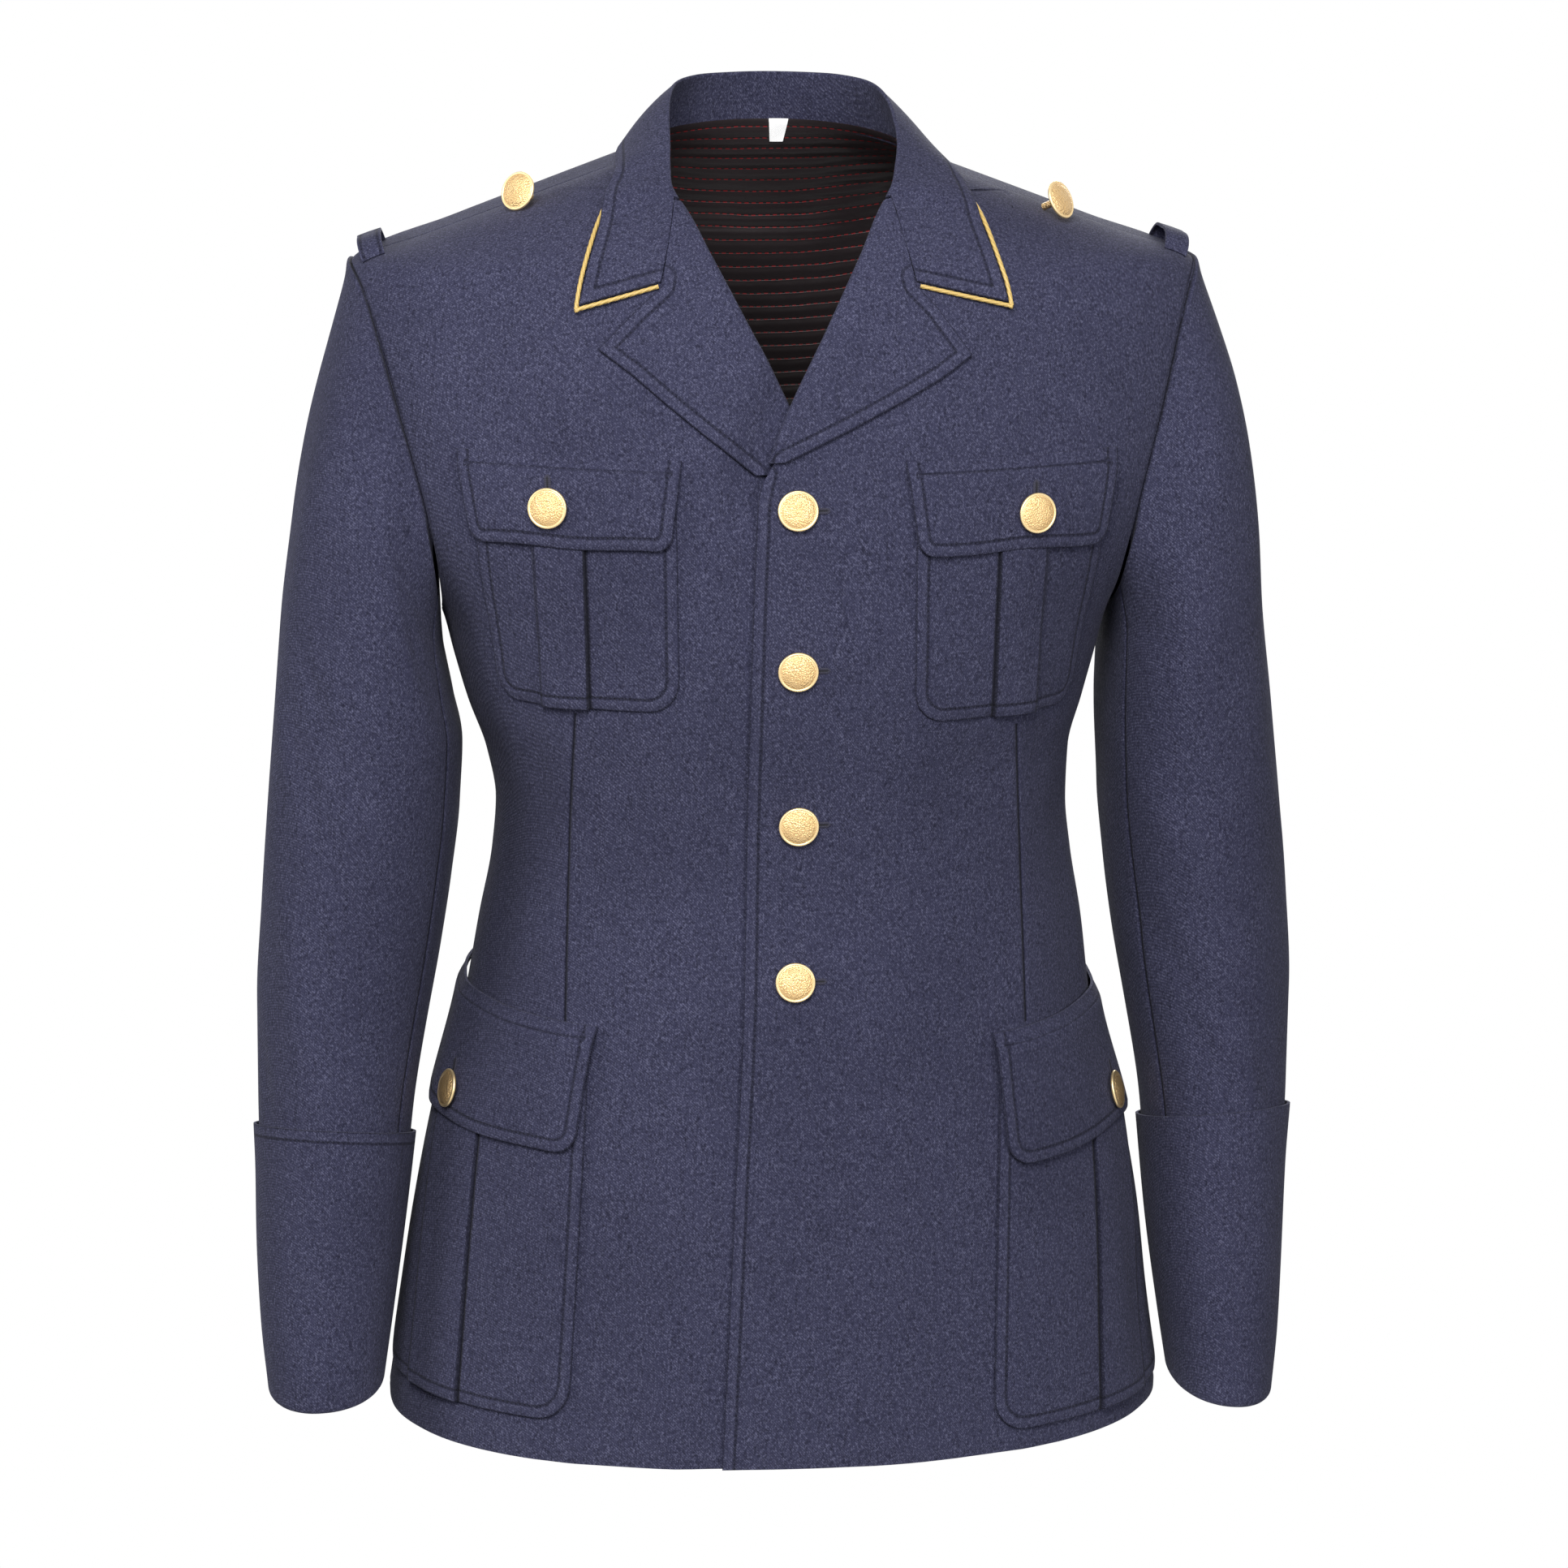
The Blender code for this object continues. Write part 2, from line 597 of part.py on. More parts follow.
# Neck rows run from the roll round to the centre back: the neck edge as angle and level,
# the fold as a point, the outer edge as an angle (or, in front, an x) and a level.
NECK = {
    LEFT: np.array([
        # neck angle, neck level, fold x, fold y, fold z, outer angle, outer x, outer level, wrap
        [0.0, -0.0170, 0.0565, -0.0705, -0.0165, 0.0, 0.1082, -0.0340, 0.0],
        [0.0, -0.0130, 0.0592, -0.0590, -0.0085, 0.0, 0.1052, -0.0255, 1.0],
        [0.0, -0.0085, 0.0622, -0.0450, 0.0010, 0.0, 0.1022, -0.0175, 1.0],
        [0.0, -0.0035, 0.0652, -0.0270, 0.0125, 0.0, 0.0975, -0.0095, 1.0],
        [90.0, -0.0002, 0.0650, -0.0060, 0.0255, 90.0, 0.0, -0.0032, 1.0],
        [104.0, -0.0002, 0.0628, 0.0160, 0.0350, 103.0, 0.0, -0.0020, 1.0],
        [120.0, -0.0002, 0.0560, 0.0380, 0.0415, 118.0, 0.0, -0.0018, 1.0],
        [140.0, -0.0002, 0.0410, 0.0560, 0.0445, 138.0, 0.0, -0.0045, 1.0],
        [160.0, -0.0002, 0.0230, 0.0660, 0.0455, 158.0, 0.0, -0.0090, 1.0],
        [180.0, -0.0002, 0.0000, 0.0695, 0.0460, 180.0, 0.0, -0.0125, 1.0],
    ]),
    RIGHT: np.array([
        [0.0, -0.0170, 0.0565, -0.0705, -0.0165, 0.0, 0.0992, -0.0315, 0.0],
        [0.0, -0.0130, 0.0585, -0.0590, -0.0085, 0.0, 0.0967, -0.0238, 1.0],
        [0.0, -0.0085, 0.0585, -0.0450, 0.0010, 0.0, 0.0940, -0.0165, 1.0],
        [0.0, -0.0035, 0.0576, -0.0270, 0.0125, 0.0, 0.0888, -0.0080, 1.0],
        [90.0, -0.0002, 0.0570, -0.0060, 0.0260, 90.0, 0.0, -0.0014, 1.0],
        [104.0, -0.0002, 0.0550, 0.0160, 0.0360, 103.0, 0.0, -0.0008, 1.0],
        [120.0, -0.0002, 0.0498, 0.0380, 0.0420, 118.0, 0.0, -0.0008, 1.0],
        [140.0, -0.0002, 0.0378, 0.0560, 0.0447, 138.0, 0.0, -0.0036, 1.0],
        [160.0, -0.0002, 0.0205, 0.0660, 0.0456, 158.0, 0.0, -0.0086, 1.0],
        [180.0, -0.0002, 0.0000, 0.0695, 0.0460, 180.0, 0.0, -0.0125, 1.0],
    ]),
}
COLLAR_LIE = 0.0014
FALL_LIE = 0.0050
POINT_LIE = 0.0030
FOLD_REACH = 0.0050
FALL_BULGE = 0.0018
STAND_SHARES = (0.0, 0.35, 0.70)
BEND_SHARES = (0.0, 0.25, 0.5, 0.75, 1.0)
BEND_COLUMNS = len(STAND_SHARES) + len(BEND_SHARES)
FALL_SHARES = (0.22, 0.44, 0.64, 0.82, 1.0)


def mirrored(point, side):
    return np.array([side * point[0], point[1], point[2]])


def bezier(a, b, c, t):
    return (1 - t) ** 2 * a + 2 * t * (1 - t) * b + t * t * c


def collar_rows(side):
    """Middle points of the collar from its front edge to the centre back."""
    rows = []
    for inner_x, inner_level, outer_x, outer_level in GORGE[side]:
        start = np.array([inner_x, inner_level])
        end = np.array([outer_x, outer_level])
        row = []
        for share in [0.0] * BEND_COLUMNS + list(FALL_SHARES):
            x, level = start + (end - start) * share
            lie = COLLAR_LIE + (POINT_LIE - COLLAR_LIE) * share
            row.append(skin(side * angle_of(x, level), level, lie))
        rows.append(row)
    table = NECK[side]
    neck_levels = table[:, 1]
    front_part = neck_levels < -0.001
    neck_angles = side * np.where(front_part, angle_of(roll_edge(neck_levels), neck_levels), table[:, 0])
    out_angles = side * np.where(table[:, 5] > 0, table[:, 5], angle_of(table[:, 6], table[:, 7]))
    rims = skin(neck_angles, neck_levels, -CLOTH / 2)
    rim_normals = normal_at(neck_angles, neck_levels)
    aways = unit(np.cross(np.gradient(rims, axis=0), rim_normals))
    aways *= np.sign(np.sum(aways * rims * np.array([1.0, 1.0, 0.0]), axis=1))[:, None]
    for k, row_of_table in enumerate(table):
        neck_angle, neck_level = neck_angles[k], neck_levels[k]
        fx, fy, fz = row_of_table[2:5]
        out_angle, out_level, wrap = out_angles[k], row_of_table[7], row_of_table[8]
        away = aways[k]
        seated = rims[k] - away * (CLOTH / 2 + SEAM + 0.0003) - rim_normals[k] * 0.0005
        tucked = skin(neck_angle, neck_level, UNDER_LAPEL_WRAP) - away * 0.0002
        foot = wrap * seated + (1 - wrap) * tucked
        fold = mirrored((fx, fy, fz), side)
        edge_lie = POINT_LIE + (FALL_LIE - POINT_LIE) * wrap
        edge = skin(out_angle, out_level, edge_lie)
        over = skin(neck_angle, neck_level, LAPEL_LIE)
        under = skin(neck_angle, neck_level, UNDER_LAPEL_WRAP)
        beyond = skin(neck_angle, neck_level, -CLOTH / 2) - np.array([side * 2 * ROLL, 0.0, 0.0])
        rise = unit(fold - foot)
        fall = unit(edge - fold)
        start = wrap * (fold - rise * FOLD_REACH) + (1 - wrap) * under
        middle = wrap * fold + (1 - wrap) * beyond
        end = wrap * (fold + fall * FOLD_REACH) + (1 - wrap) * over
        row = [foot + (start - foot) * share for share in STAND_SHARES]
        row += [bezier(start, middle, end, t) for t in BEND_SHARES]
        guide = end + (edge - end) * 0.5
        lift = unit(np.array([guide[0] * 1.2, guide[1] * 1.2, 0.10]))
        bulge = FALL_BULGE * wrap
        for share in FALL_SHARES:
            point = end + (edge - end) * share
            if wrap < 1.0:
                hug = neck_angle + (out_angle - neck_angle) * share
                level = neck_level + (out_level - neck_level) * share
                on_chest = skin(hug, level, LAPEL_LIE + (edge_lie - LAPEL_LIE) * share)
                point = wrap * point + (1 - wrap) * on_chest
            point = point + lift * bulge * 4 * share * (1 - share)
            row.append(point)
        rows.append(row)
    return rows


left_rows = collar_rows(LEFT)
right_rows = collar_rows(RIGHT)
collar = np.array(right_rows + left_rows[::-1][1:])
station_count = len(collar)
gorge_count = len(GORGE[LEFT])
keep = np.ones((station_count - 1, collar.shape[1] - 1), bool)
keep[:gorge_count, :7] = False
keep[station_count - 1 - gorge_count:, :7] = False
collar_lift = grid_normals(collar)
for k in list(range(gorge_count)) + list(range(station_count - gorge_count, station_count)):
    collar_lift[k, :7] = collar_lift[k, 8]
wall(
    "collar",
    collar + collar_lift * (CLOTH / 2),
    collar - collar_lift * (CLOTH / 2),
    WOOL,
    keep,
)

# Gold cord along the front and outer edge of the collar
CORD_RADIUS = 0.0012
CORNER = 1.10
outer_edge = collar[:, -1]
outward = unit(collar[:, -1] - collar[:, -2])
facing = np.sign(np.sum(collar_lift[:, -1] * unit(outer_edge + [0.0, 0.0, 0.20]), axis=1))
below = -collar_lift[:, -1] * facing[:, None]
clear = CORD_RADIUS + SEAM + 0.0008
under = CLOTH / 2 + clear
steps_in = np.minimum(np.arange(station_count), np.arange(station_count)[::-1])
turn = ease((steps_in - 3.0) / 3.0)[:, None] * np.radians(110.0)
cord_edge = outer_edge + outward * clear * np.cos(turn) + below * under * np.sin(turn)


def front_cord(row, next_row):
    """The cord along the collar's front edge, from the notch to the point."""
    across = unit(row[-1] - row[7])
    ahead = row[-1] - next_row[-1]
    ahead = unit(ahead - across * np.dot(ahead, across))
    first = row[7] + (row[8] - row[7]) * 0.25
    along = [first + ahead * clear] + [row[k] + ahead * clear for k in (8, 9, 10, 11, 12)]
    return along + [row[-1] + (ahead + across) * clear * CORNER]


start_path = front_cord(collar[0], collar[1])
end_path = front_cord(collar[-1], collar[-2])
path = start_path + list(cord_edge[1:-1]) + end_path[::-1]
tube("collar_cord", path, CORD_RADIUS, CORD)

# Sleeves
RING_STEP = 180.0 / ARMHOLE_STEPS
RING_ANGLES = np.arange(2 * ARMHOLE_STEPS) * RING_STEP
HOLE_CENTRE = np.array([0.235, 0.0, -0.150])


def sleeve_point(side, ring, angle, lift):
    """A point of a sleeve. The angle is 0 outside, 90 in front, 180 against the body."""
    ring, angle = np.broadcast_arrays(np.asarray(ring, float), np.asarray(angle, float))
    index = np.arange(len(SLEEVE))
    column = [smooth(ring, index, SLEEVE[:, k]) for k in range(6)]
    turn = np.radians(angle)
    cosine = np.cos(turn)
    sine = np.sin(turn)
    swell = (np.abs(cosine) ** 2.2 + np.abs(sine) ** 2.2) ** (-1 / 2.2)
    shift = 3 if side == LEFT else 1
    outside = column[0] + smooth(ring, SLEEVE_HANG[:, 0], SLEEVE_HANG[:, shift])
    inside = column[2] + smooth(ring, SLEEVE_HANG[:, 0], SLEEVE_HANG[:, shift + 1])
    x = (outside + inside) / 2 + (outside - inside) / 2 * cosine * swell
    z = (column[1] + column[3]) / 2 + (column[1] - column[3]) / 2 * cosine * swell
    z = z + SLEEVE_END_RISE[side] * ease((ring - CUFF_TOP) / (SLEEVE_END - CUFF_TOP))
    y = column[5] - column[4] * sine * swell
    tube_point = np.stack([x, y, z], -1)
    rim, body_normal = armhole_ring(side, angle)
    inwards = HOLE_CENTRE - rim
    inwards = inwards - body_normal * np.sum(inwards * body_normal, axis=-1, keepdims=True)
    under_arm = ease((-cosine - 0.25) / 0.6)[..., None]
    seam = rim + (unit(inwards) * (1 - under_arm) + body_normal * under_arm) * (SEAM + 0.0002)
    share = ease(ring / 2.2)[..., None]
    rope = 0.0022 * np.exp(-((ring - 0.45) / 0.5) ** 2) * ease((cosine + 0.2) / 0.8)
    point = seam * (1 - share) + (tube_point + (seam - sleeve_base(angle)) * (1 - share)) * share
    height = np.asarray(lift, float) + np.zeros(ring.shape)
    for fold_side, at, where, length, width, tall, lean in SLEEVE_FOLDS:
        if fold_side != side:
            continue
        away = (angle - where - lean * (ring - at) + 180.0) % 360.0 - 180.0
        height = height + tall * np.exp(-(away / width) ** 2 - ((ring - at) / length) ** 2)
    return point, height + rope * (ring > 0)


def armhole_ring(side, angle):
    """The armhole seam of the body and the body's normal there, as if on the left side."""
    turn = np.radians(angle)
    middle = (SHOULDER_LEVEL + ARMPIT_LEVEL) / 2
    level = middle + (SHOULDER_LEVEL - ARMPIT_LEVEL) / 2 * np.cos(turn)
    at = np.where(np.sin(turn) >= 0, armhole_angle(level, 1), armhole_angle(level, -1))
    flip = np.array([side, 1.0, 1.0])
    return skin(side * at, level, 0.0) * flip, normal_at(side * at, level) * flip


def sleeve_base(angle):
    turn = np.radians(angle)
    first = SLEEVE[0]
    cosine = np.cos(turn)
    sine = np.sin(turn)
    swell = (np.abs(cosine) ** 2.2 + np.abs(sine) ** 2.2) ** (-1 / 2.2)
    x = (first[0] + first[2]) / 2 + (first[0] - first[2]) / 2 * cosine * swell
    z = (first[1] + first[3]) / 2 + (first[1] - first[3]) / 2 * cosine * swell
    y = first[5] - first[4] * sine * swell
    return np.stack([x, y, z], -1)


def sleeve(side, ring, angle, lift):
    point, height = sleeve_point(side, ring, angle, lift)
    around = sleeve_point(side, ring, np.add(angle, 1.0), 0.0)[0]
    around = around - sleeve_point(side, ring, np.add(angle, -1.0), 0.0)[0]
    ahead = np.minimum(np.add(ring, 0.05), SLEEVE_END)
    behind = np.maximum(np.add(ring, -0.05), 0.0)
    down = sleeve_point(side, ahead, angle, 0.0)[0] - sleeve_point(side, behind, angle, 0.0)[0]
    out = unit(np.cross(around, down))
    share = np.asarray(ring, float) / 1.2 + ease((-np.cos(np.radians(angle)) - 0.25) / 0.6)
    share = ease(share)[..., None]
    body_normal = armhole_ring(side, np.asarray(angle, float) + 0.0 * np.asarray(ring))[1]
    out = unit(out * share + body_normal * (1 - share))
    point = point + out * height[..., None]
    return point * np.array([side, 1.0, 1.0])


SLEEVE_RINGS = np.array([0.0, 0.4, 0.9, 1.5, 2.3, 3.2, 4.2, 5.3, 6.4, 7.4, 8.4, 9.4, 10.4, 11.2, 12.5, 14.0])
SEAM_HALF = 0.17


def sleeve_part(name, side, start, end):
    count = int(round((end - start) / RING_STEP)) + 1
    angles = np.linspace(start, end, count)
    angles[0] += SEAM_HALF
    angles[-1] -= SEAM_HALF
    rings, turns = np.meshgrid(SLEEVE_RINGS, angles, indexing="ij")
    outer = sleeve(side, rings, turns, 0.0)
    inner = sleeve(side, rings, turns, -CLOTH)
    return wall(name, outer, inner, WOOL)


# Cuffs: each lies over the end of its sleeve and turns up inside it.
CUFF_PROFILE = [
    # ring, height over the sleeve's outer face
    (CUFF_TOP, 0.0023),
    (11.2, 0.0018),
    (12.5, 0.0015),
    (SLEEVE_END, 0.0015),
]
CUFF_TURN_UP = 0.35
CUFF_TILT = 0.016


def tilted(side, ring, angle):
    """The cuff's rows are square to the forearm: higher in front, lower behind."""
    whole = sleeve(side, CUFF_TOP, RING_ANGLES, 0.0)
    here = sleeve(side, CUFF_TOP, angle, 0.0)
    step = np.linalg.norm(sleeve(side, CUFF_TOP + 1.0, angle, 0.0) - here, axis=-1)
    middle = (whole[:, 1].max() + whole[:, 1].min()) / 2
    front = (middle - here[..., 1]) / (whole[:, 1].max() - middle)
    return ring - CUFF_TILT * front / step * (SLEEVE_END - ring) / (SLEEVE_END - CUFF_TOP)


def cuff(name, side):
    grid = []
    for ring, height in CUFF_PROFILE:
        grid.append(sleeve(side, tilted(side, ring, RING_ANGLES), RING_ANGLES, height))
    last_out = sleeve(side, SLEEVE_END, RING_ANGLES, CUFF_PROFILE[-1][1])
    last_in = sleeve(side, SLEEVE_END, RING_ANGLES, -CLOTH - CUFF_PROFILE[-1][1])
    before = sleeve(side, SLEEVE_END - 0.2, RING_ANGLES, -CLOTH / 2)
    ending = sleeve(side, SLEEVE_END, RING_ANGLES, -CLOTH / 2)
    ahead = unit(ending - before)
    half = np.linalg.norm(last_out - last_in, axis=-1, keepdims=True) / 2
    middle = (last_out + last_in) / 2
    outward = unit(last_out - last_in)
    for turn in np.radians([60.0, 120.0]):
        grid.append(middle + half * (outward * np.cos(turn) + ahead * np.sin(turn)))
    grid.append(last_in)
    grid.append(sleeve(side, SLEEVE_END - CUFF_TURN_UP, RING_ANGLES, -CLOTH - CUFF_PROFILE[-1][1]))
    return folded(name, np.array(grid), CLOTH, WOOL, ring=True)


for side, word in ((LEFT, "left"), (RIGHT, "right")):
    sleeve_part(f"sleeve_upper_{word}", side, UPPER_FROM, UPPER_TO)
    sleeve_part(f"sleeve_under_{word}", side, UPPER_TO, 360.0 + UPPER_FROM)
    cuff(f"cuff_{word}", side)


# Patch pockets and flaps. Positions run along the cloth, away from the centre front.
def arc_table(side, level):
    angle = np.linspace(0.0, 120.0, 241)
    points = bare(side * angle, level)
    length = np.concatenate([[0.0], np.cumsum(np.linalg.norm(np.diff(points, axis=0), axis=1))])
    return angle, length


def arc_of_x(side, x, level):
    angle, length = arc_table(side, level)
    return float(np.interp(float(angle_of(x, level)), angle, length))


def on_cloth(side, arc, level, lift):
    angle, length = arc_table(side, level)
    at = side * float(np.interp(arc, length, angle))
    sink = float(sunk(bare(at, level)[0], level)) if side == RIGHT else 0.0
    return skin(at, level, lift - sink)


POCKETS = [
    # name, side, top level, bottom level, inner x at top and bottom, width, radius,
    # pleat centre from the inner edge, pleat width
    ("chest_pocket_left", LEFT, -0.170, -0.2950, 0.0665, 0.0665, 0.112, 0.017, 0.061, 0.028),
    ("chest_pocket_right", RIGHT, -0.166, -0.2870, 0.0626, 0.0610, 0.112, 0.017, 0.064, 0.028),
    ("lower_pocket_left", LEFT, -0.488, -0.7000, 0.1165, 0.1130, 0.170, 0.020, 0.0963, 0.046),
    ("lower_pocket_right", RIGHT, -0.484, -0.6880, 0.1110, 0.1245, 0.168, 0.020, 0.0943, 0.046),
]
POCKET_GAP = 0.0009
HIP_GAP = 0.0016
PLEAT_RAISE = 0.0010


def rounded(u, half, radius):
    """How much shorter the patch is at u, because of its round lower corners."""
    past = np.clip(np.abs(u) - (half - radius), 0.0, radius)
    return radius - np.sqrt(np.maximum(radius ** 2 - past ** 2, 0.0))


def pocket(name, side, top, bottom, x_top, x_bottom, width, radius, pleat_at, pleat):
    half = width / 2
    edge = 0.0012
    gap = HIP_GAP if top < -0.4 else POCKET_GAP
    cuts = [0.0, 0.12, 0.35, 0.65, 1.0]
    left = [-half + radius * (1 - np.cos(np.pi / 2 * c)) for c in cuts]
    right = [-k for k in reversed(left)]
    centre = pleat_at - half
    fold = [centre - pleat / 2 - edge, centre - pleat / 2, centre, centre + pleat / 2, centre + pleat / 2 + edge]
    plain = [left[-1] + (fold[0] - left[-1]) * share for share in (0.33, 0.67)]
    plain.append((right[0] + fold[-1]) / 2)
    us = np.array(sorted(left + fold + plain + right))
    raised = np.array([1.0 if abs(u - centre) <= pleat / 2 + 1e-9 else 0.0 for u in us])
    rows = 6
    outer = np.zeros((rows, len(us), 3))
    inner = np.zeros((rows, len(us), 3))
    for j, u in enumerate(us):
        drop = rounded(u, half, radius)
        for i in range(rows):
            level = top + (bottom + drop - top) * i / (rows - 1)
            share = (level - top) / (bottom - top)
            start = arc_of_x(side, x_top + (x_bottom - x_top) * share, level)
            high = gap + THIN + PLEAT_RAISE * raised[j]
            outer[i, j] = on_cloth(side, start + half + u, level, high)
            inner[i, j] = on_cloth(side, start + half + u, level, gap)
    return wall(name, outer, inner, WOOL)


FLAPS = [
    # name, side, top level inner, top level outer, depth, inner x top, inner x bottom,
    # width at top, width at bottom, radius, clearance over what it covers
    ("chest_flap_left", LEFT, -0.1530, -0.1500, 0.0500, 0.0610, 0.0660, 0.124, 0.113, 0.010, 0.0034),
    ("chest_flap_right", RIGHT, -0.1510, -0.1470, 0.0480, 0.0590, 0.0640, 0.124, 0.113, 0.010, 0.0034),
    ("lower_flap_left", LEFT, -0.4750, -0.4660, 0.0750, 0.1120, 0.1180, 0.186, 0.178, 0.016, 0.0046),
    ("lower_flap_right", RIGHT, -0.4660, -0.4600, 0.0720, 0.1060, 0.1160, 0.186, 0.178, 0.016, 0.0046),
]
FLAP_CLOTH = 0.0016
FLAP_SEAT = 0.012
FLAP_COLUMNS = 8


def flap_point(flap, u, share, lift):
    """A point over a flap: u from -1 to 1 across it, share from its top to its bottom."""
    name, side, top_in, top_out, deep, x_top, x_bottom, wide_top, wide_bottom, radius, clear = flap
    width = wide_top + (wide_bottom - wide_top) * share
    top = top_in + (top_out - top_in) * (u + 1) / 2
    half = wide_bottom / 2
    drop = rounded(u * half, half, radius)
    level = top - (deep - drop) * share
    x = x_top + (x_bottom - x_top) * share
    start = arc_of_x(side, x, level)
    gap = HIP_GAP if top_in < -0.4 else POCKET_GAP
    rise = gap + (clear - gap) * float(ease((top - level) / FLAP_SEAT))
    rise = rise + 0.0006 * share
    return on_cloth(side, start + width / 2 * (1 + u), level, rise + lift)


def flap_grid(flap, lift):
    half = flap[8] / 2
    corner = flap[9] / half
    cuts = [0.0, 0.12, 0.35, 0.65, 1.0]
    left = [-1 + corner * (1 - np.cos(np.pi / 2 * c)) for c in cuts]
    inside = list(np.linspace(left[-1], -left[-1], FLAP_COLUMNS))[1:-1]
    us = left + inside + [-k for k in reversed(left)]
    rows = [0.0, 0.14, 0.30, 0.65, 1.0]
    return np.array([[flap_point(flap, u, row, lift) for u in us] for row in rows])


for row in POCKETS:
    pocket(*row)
for row in FLAPS:
    wall(row[0], flap_grid(row, FLAP_CLOTH), flap_grid(row, 0.0), WOOL)

# Buttons: a domed cap with a rolled rim on a short shank
BUTTON_PROFILE = [
    (0.0, 0.0),
    (0.0028, 0.0),
    (0.0028, 0.0016),
    (BUTTON_RADIUS - 0.0012, 0.0014),
    (BUTTON_RADIUS, 0.0024),
    (BUTTON_RADIUS * 0.82, 0.0037),
    (BUTTON_RADIUS * 0.42, BUTTON_HEIGHT),
    (0.0, BUTTON_HEIGHT + 0.0002),
]
BUTTON_SEAT = 0.0006
FRONT_BUTTONS = [
    # x, level, height of the foot over the true surface
    (0.0024, -0.1775, 0.0003),
    (0.0024, -0.2640, 0.0000),
    (0.0036, -0.3515, 0.0009),
    (0.0016, -0.4390, 0.0006),
]


def button(name, base, tip):
    axis = unit(tip - base)
    revolve(name, BUTTON_PROFILE, base, axis, GOLD, steps=12)


for number, (x, level, foot) in enumerate(FRONT_BUTTONS, 1):
    angle = angle_of(x, level)
    base = skin(angle, level, foot)
    button(f"button_front_{number}", base, skin(angle, level, 0.01))

FLAP_BUTTONS = [
    # name, flap row, place across, share of the depth, height of the foot
    ("button_chest_left", 0, 0.16, 0.62, BUTTON_SEAT),
    ("button_chest_right", 1, 0.16, 0.58, BUTTON_SEAT),
    ("button_lower_left", 2, 0.10, 0.78, 0.0),
    ("button_lower_right", 3, 0.10, 0.78, 0.0002),
]
for name, row, across, share, foot in FLAP_BUTTONS:
    base = flap_point(FLAPS[row], across, share, FLAP_CLOTH + foot)
    tip = flap_point(FLAPS[row], across, share, FLAP_CLOTH + 0.02)
    button(name, base, tip)

# The shoulder buttons stand on longer shanks and lean outwards and forwards.
SHANK_RADIUS = 0.0020
SHANK_LENGTH = 0.0095
SHANK_SEAT = 0.0019
STANDING_PROFILE = [(0.0, 0.0), (SHANK_RADIUS, 0.0), (SHANK_RADIUS, SHANK_LENGTH)]
STANDING_PROFILE += [(radius, SHANK_LENGTH + height) for radius, height in BUTTON_PROFILE[3:]]
SHOULDER_BUTTONS = [
    # name, angle, level, axis
    ("button_shoulder_left", 77.3, -0.0268, (0.710, -0.587, 0.365)),
    ("button_shoulder_right", -80.7, -0.0205, (-0.645, -0.770, 0.350)),
]
for name, angle, level, axis in SHOULDER_BUTTONS:
    revolve(name, STANDING_PROFILE, skin(angle, level, SHANK_SEAT), axis, GOLD, steps=12)

# Loops for shoulder boards: a short strap across each shoulder end, standing off the cloth
LOOP_WIDTH = 0.012
LOOP_HALF = 0.027
LOOP_RISE = 0.0085
LOOP_X = 0.222
LOOP_SEAT = 0.0006


def loop(name, side):
    made = []
    for share in np.linspace(-1.0, 1.0, 11):
        across = [LOOP_X + k * LOOP_WIDTH for k in (-0.5, 0.0, 0.5)]
        made.append([loop_point(side, x, share * LOOP_HALF, share) for x in across])
    return folded(name, np.array(made), CLOTH, WOOL)


def loop_point(side, x, y, share):
    """The point of the shoulder under (x, y), lifted by the arch of the loop."""
    low = np.array([SHOULDER_LEVEL * 1.8, -0.0004])
    for _ in range(40):
        level = low.mean()
        half = 1 if y < 0 else -1
        wide, front_depth, back_depth = axes_at(LEFT, level)
        deep = front_depth if half > 0 else back_depth
        held = min(x / float(wide), 1.0)
        reach = float(deep) * (1 - held ** ROUNDNESS) ** (1 / ROUNDNESS)
        if x >= float(wide) or reach < abs(y):
            low[1] = level
        else:
            low[0] = level
    level = low.mean()
    angle = float(np.degrees(np.arctan2(x, -y)))
    arch = CLOTH / 2 - LOOP_SEAT + LOOP_RISE * (1 - share ** 4)
    return skin(side * angle, level, arch)


loop("shoulder_loop_left", LEFT)
loop("shoulder_loop_right", RIGHT)

# A small blank size tab hangs from the neck seam over the lining.
TAB_WIDTH = 0.0095
TAB_LENGTH = 0.0160
TAB_X = 0.0030
tab_rows = []
for down in np.linspace(0.0, 1.0, 5):
    row = []
    for across in (0.0, 0.5, 1.0):
        x = TAB_X + across * TAB_WIDTH
        level = -0.0095 - TAB_LENGTH * down
        angle = 180.0 - np.degrees(np.arctan2(x, 0.085))
        row.append(skin(angle, level, near - LINING - 0.0008 - 0.0012 * down))
    tab_rows.append(row)
folded("size_tab", np.array(tab_rows), 0.0005, WHITE)
